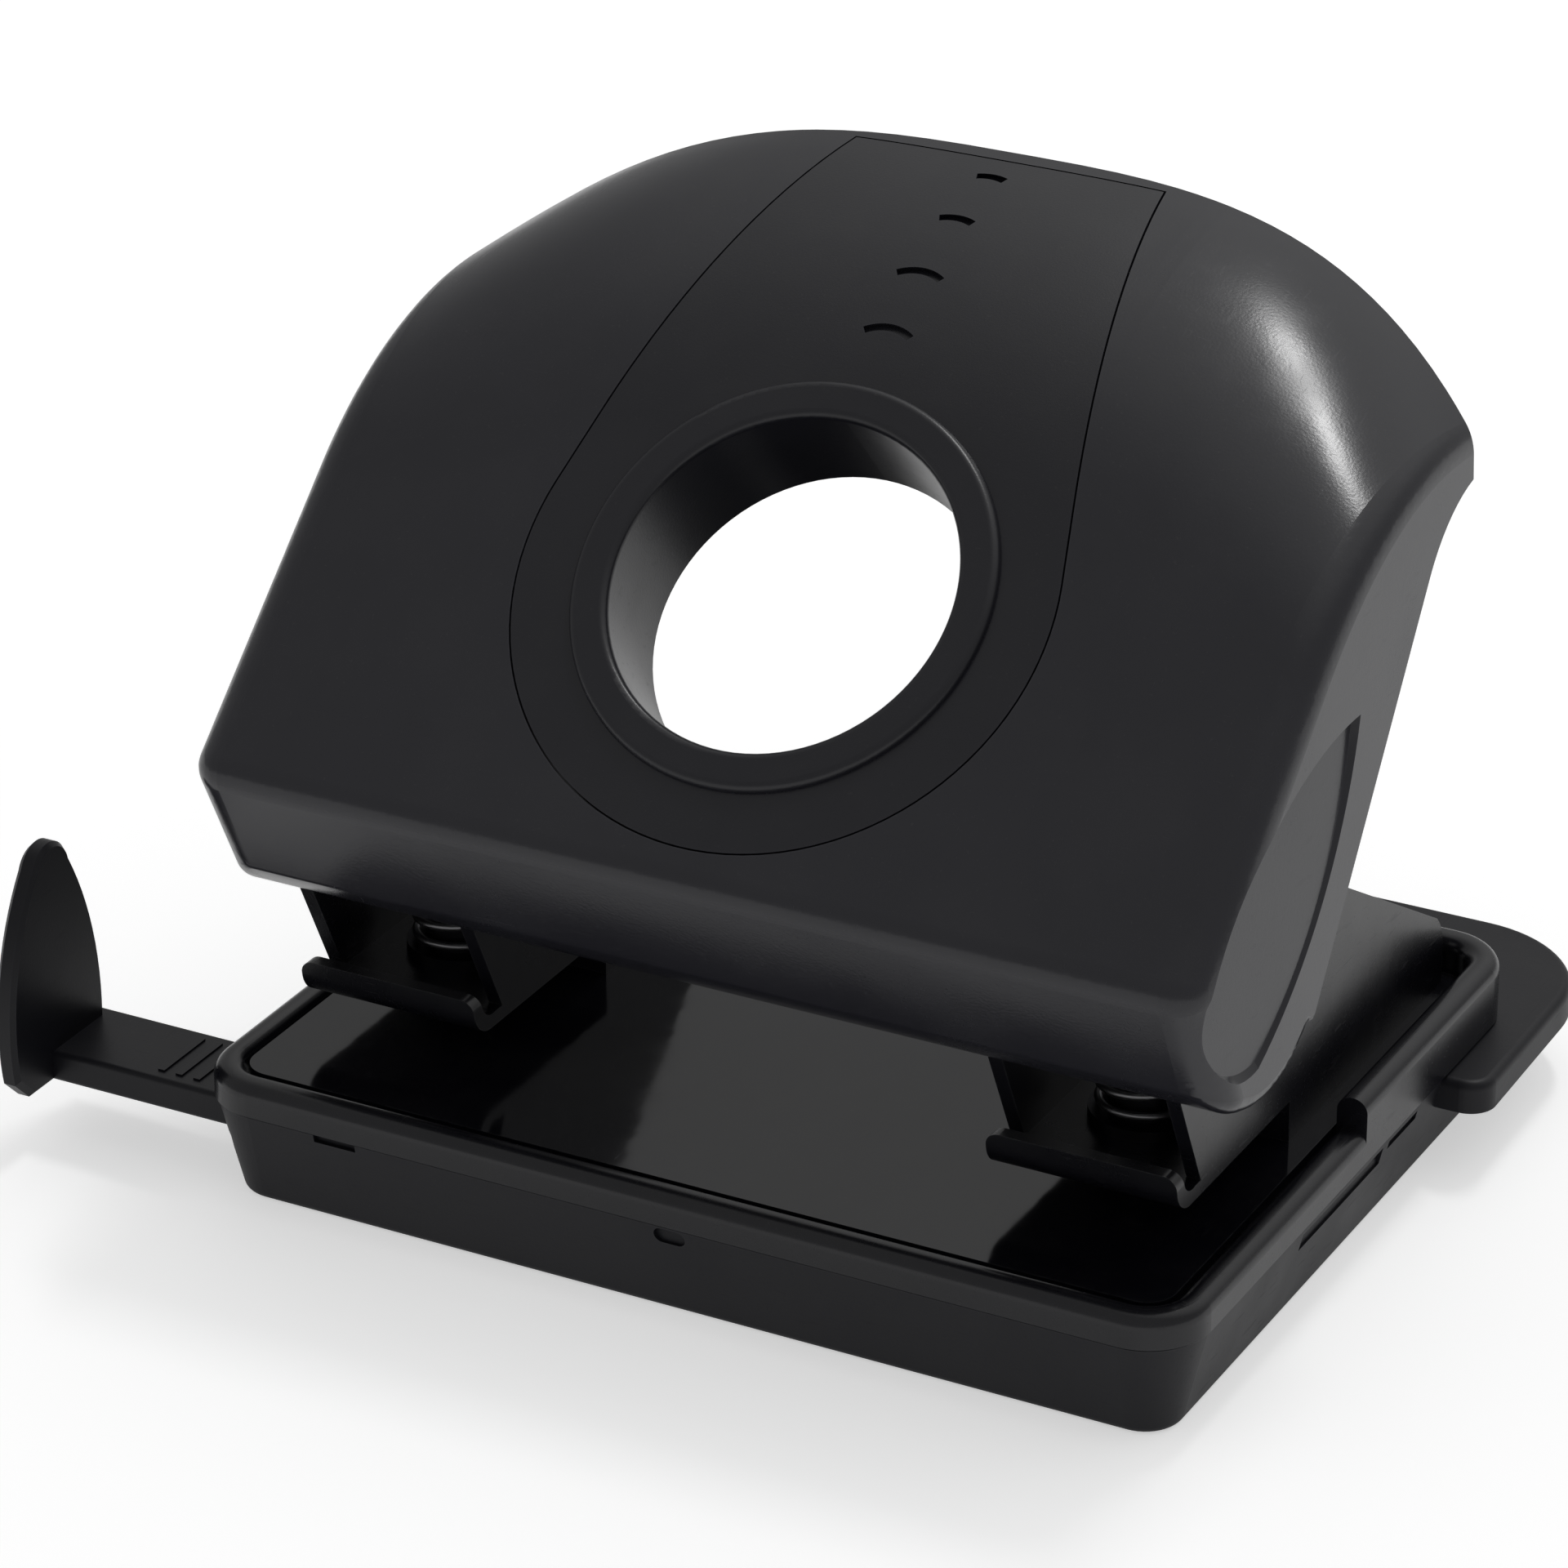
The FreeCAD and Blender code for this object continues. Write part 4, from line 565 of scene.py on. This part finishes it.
class PUNCH_OT_handle(bpy.types.Operator):
    """Finish the handle shell and its inlaid tongue"""

    bl_idname = "punch.handle"
    bl_label = "Handle"

    def execute(self, context):
        colours = context.scene.punch_colours
        shell = moulded("handle_plastic", tuple(colours.handle), polish=0.17, grain_size=0.34 * MM,
                        grain_depth=0.010 * MM, edge_shine=0.06, dust_amount=0.035)
        tongue = moulded("inlay_plastic", tuple(colours.inlay), polish=0.28, grain_size=0.26 * MM,
                         grain_depth=0.012 * MM, edge_shine=0.06, dust_amount=0.03)
        finish_nodes(shell, "handle_shell")
        finish_nodes(tongue, "tongue_inlay")
        return {"FINISHED"}


class PUNCH_OT_base(bpy.types.Operator):
    """Finish the moulded base frame and its steel plate"""

    bl_idname = "punch.base"
    bl_label = "Base"

    def execute(self, context):
        colours = context.scene.punch_colours
        rim = moulded("frame_plastic", tuple(colours.base), polish=0.20, grain_size=0.5 * MM,
                      grain_depth=0.004 * MM, edge_shine=0.05, dust_amount=0.03)
        plate = enamelled("plate_enamel", tuple(colours.enamel), polish=0.07, dust_amount=0.03,
                          rub_share=0.05)
        finish_nodes(rim, "base_frame")
        finish_nodes(plate, "base_plate")
        return {"FINISHED"}


class PUNCH_OT_brackets(bpy.types.Operator):
    """Finish the jaw brackets with their rivets, pivot shafts and clips"""

    bl_idname = "punch.brackets"
    bl_label = "Brackets"

    def execute(self, context):
        colours = context.scene.punch_colours
        enamel = enamelled("bracket_enamel", tuple(colours.enamel), polish=0.24, dust_amount=0.02,
                           rub_share=0.05)
        plated = bare_metal("bright_steel", tuple(colours.zinc), polish=0.32, stretch=EVEN,
                            streak_size=0.5 * MM, depth=0.002 * MM)
        finish_nodes(enamel, *on_both_sides("bracket"))
        finish_nodes(plated, "bracket_rivets", "shaft_clips", *on_both_sides("pivot_shaft"))
        return {"FINISHED"}


class PUNCH_OT_levers(bpy.types.Operator):
    """Finish the press levers, their rollers and screws"""

    bl_idname = "punch.levers"
    bl_label = "Press levers"

    def execute(self, context):
        colours = context.scene.punch_colours
        pressed = bare_metal("lever_steel", tuple(colours.zinc), polish=0.38, stretch=ALONG_X,
                             streak_size=0.2 * MM, depth=0.003 * MM)
        finish_nodes(pressed, "lever_screws", *on_both_sides("press_lever", "press_roller"))
        return {"FINISHED"}


class PUNCH_OT_pins(bpy.types.Operator):
    """Finish the punch pins, their washers and guide bushes"""

    bl_idname = "punch.pins"
    bl_label = "Punch pins"

    def execute(self, context):
        colours = context.scene.punch_colours
        ground = bare_metal("pin_steel", tuple(colours.steel), polish=0.18, stretch=AROUND,
                            streak_size=0.08 * MM, depth=0.001 * MM)
        # Painted shade: the bushes get a near-black colour that stands in for the shade inside the jaws.
        turned = bare_metal("bush_steel", tuple(colours.bush), polish=0.34, stretch=AROUND,
                            streak_size=0.15 * MM, depth=0.003 * MM)
        finish_nodes(ground, *on_both_sides("punch_pin", "spring_washer"))
        finish_nodes(turned, *on_both_sides("guide_bush"))
        return {"FINISHED"}


class PUNCH_OT_springs(bpy.types.Operator):
    """Coil the two return springs round the punch pins"""

    bl_idname = "punch.springs"
    bl_label = "Return springs"

    def execute(self, context):
        sizes = context.scene.punch_springs
        colours = context.scene.punch_colours
        wire = bare_metal("spring_steel", tuple(colours.wire), polish=0.30, stretch=ALONG_WIRE,
                          streak_size=0.3 * MM, depth=0.002 * MM)
        for side in SIDES:
            node = f"punch_spring_{side}"
            low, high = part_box(node)
            centre = Vector(((low.x + high.x) / 2, (low.y + high.y) / 2, 0))
            radius = (high.x - low.x) / 2 - sizes.wire / 2
            mesh = coil_mesh(f"coil_spring_{side}", centre, low.z, high.z, radius,
                             sizes.wire, sizes.turns, sizes.closed)
            coil = bpy.data.objects.new(f"coil_spring_{side}", mesh)
            context.scene.collection.objects.link(coil)
            mesh.materials.append(wire)
            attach(coil, "base")
            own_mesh(coil)
            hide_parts(node)
        return {"FINISHED"}


class PUNCH_OT_guide(bpy.types.Operator):
    """Finish the sliding paper guide and its detent spring"""

    bl_idname = "punch.guide"
    bl_label = "Paper guide"

    def execute(self, context):
        colours = context.scene.punch_colours
        bar = moulded("guide_plastic", tuple(colours.guide), polish=0.34, grain_size=0.3 * MM,
                      grain_depth=0.008 * MM, edge_shine=0.06, dust_amount=0.03, specular=0.3)
        leaf = bare_metal("leaf_steel", tuple(colours.wire), polish=0.26, stretch=ALONG_X,
                          streak_size=0.2 * MM, depth=0.002 * MM)
        finish_nodes(bar, "paper_guide")
        finish_nodes(leaf, "guide_spring")
        return {"FINISHED"}


class PUNCH_OT_tray(bpy.types.Operator):
    """Finish the chip tray and the pins it swings on"""

    bl_idname = "punch.tray"
    bl_label = "Chip tray"

    def execute(self, context):
        colours = context.scene.punch_colours
        soft = moulded("tray_plastic", tuple(colours.tray), polish=0.42, grain_size=0.4 * MM,
                       grain_depth=0.012 * MM, edge_shine=0.04, dust_amount=0.03, specular=0.3)
        pin = bare_metal("hinge_steel", tuple(colours.steel), polish=0.30, stretch=ALONG_Y,
                         streak_size=0.1 * MM, depth=0.001 * MM)
        finish_nodes(soft, "chip_tray")
        finish_nodes(pin, "tray_hinge_pins")
        return {"FINISHED"}


STEPS = (PUNCH_OT_stage, PUNCH_OT_effects, PUNCH_OT_handle, PUNCH_OT_base, PUNCH_OT_brackets,
         PUNCH_OT_levers, PUNCH_OT_pins, PUNCH_OT_springs, PUNCH_OT_guide, PUNCH_OT_tray)


class PUNCH_PT_panel(bpy.types.Panel):
    """Steps and settings of the hole punch"""

    bl_idname = "PUNCH_PT_panel"
    bl_label = "Hole punch"
    bl_space_type = "VIEW_3D"
    bl_region_type = "UI"
    bl_category = "Hole punch"

    def draw(self, context):
        for step in STEPS:
            self.layout.operator(step.bl_idname)
        scene = context.scene
        for group in (scene.punch_springs, scene.punch_colours, scene.punch_studio):
            box = self.layout.box()
            for name in group.__annotations__:
                box.prop(group, name)


SETTINGS = {"punch_springs": PunchSprings, "punch_colours": PunchColours, "punch_studio": PunchStudio}
CLASSES = (*SETTINGS.values(), *STEPS, PUNCH_PT_panel)


def register():
    """Register the classes and hang the settings on the scene."""
    for item in CLASSES:
        bpy.utils.register_class(item)
    for name, group in SETTINGS.items():
        setattr(bpy.types.Scene, name, PointerProperty(type=group))


def unregister():
    """Take the settings and the classes away again."""
    for name in SETTINGS:
        delattr(bpy.types.Scene, name)
    for item in reversed(CLASSES):
        bpy.utils.unregister_class(item)


def main():
    """Run every step in order."""
    register()
    for step in STEPS:
        group, name = step.bl_idname.split(".")
        getattr(getattr(bpy.ops, group), name)()


if __name__ == "__main__":
    main()
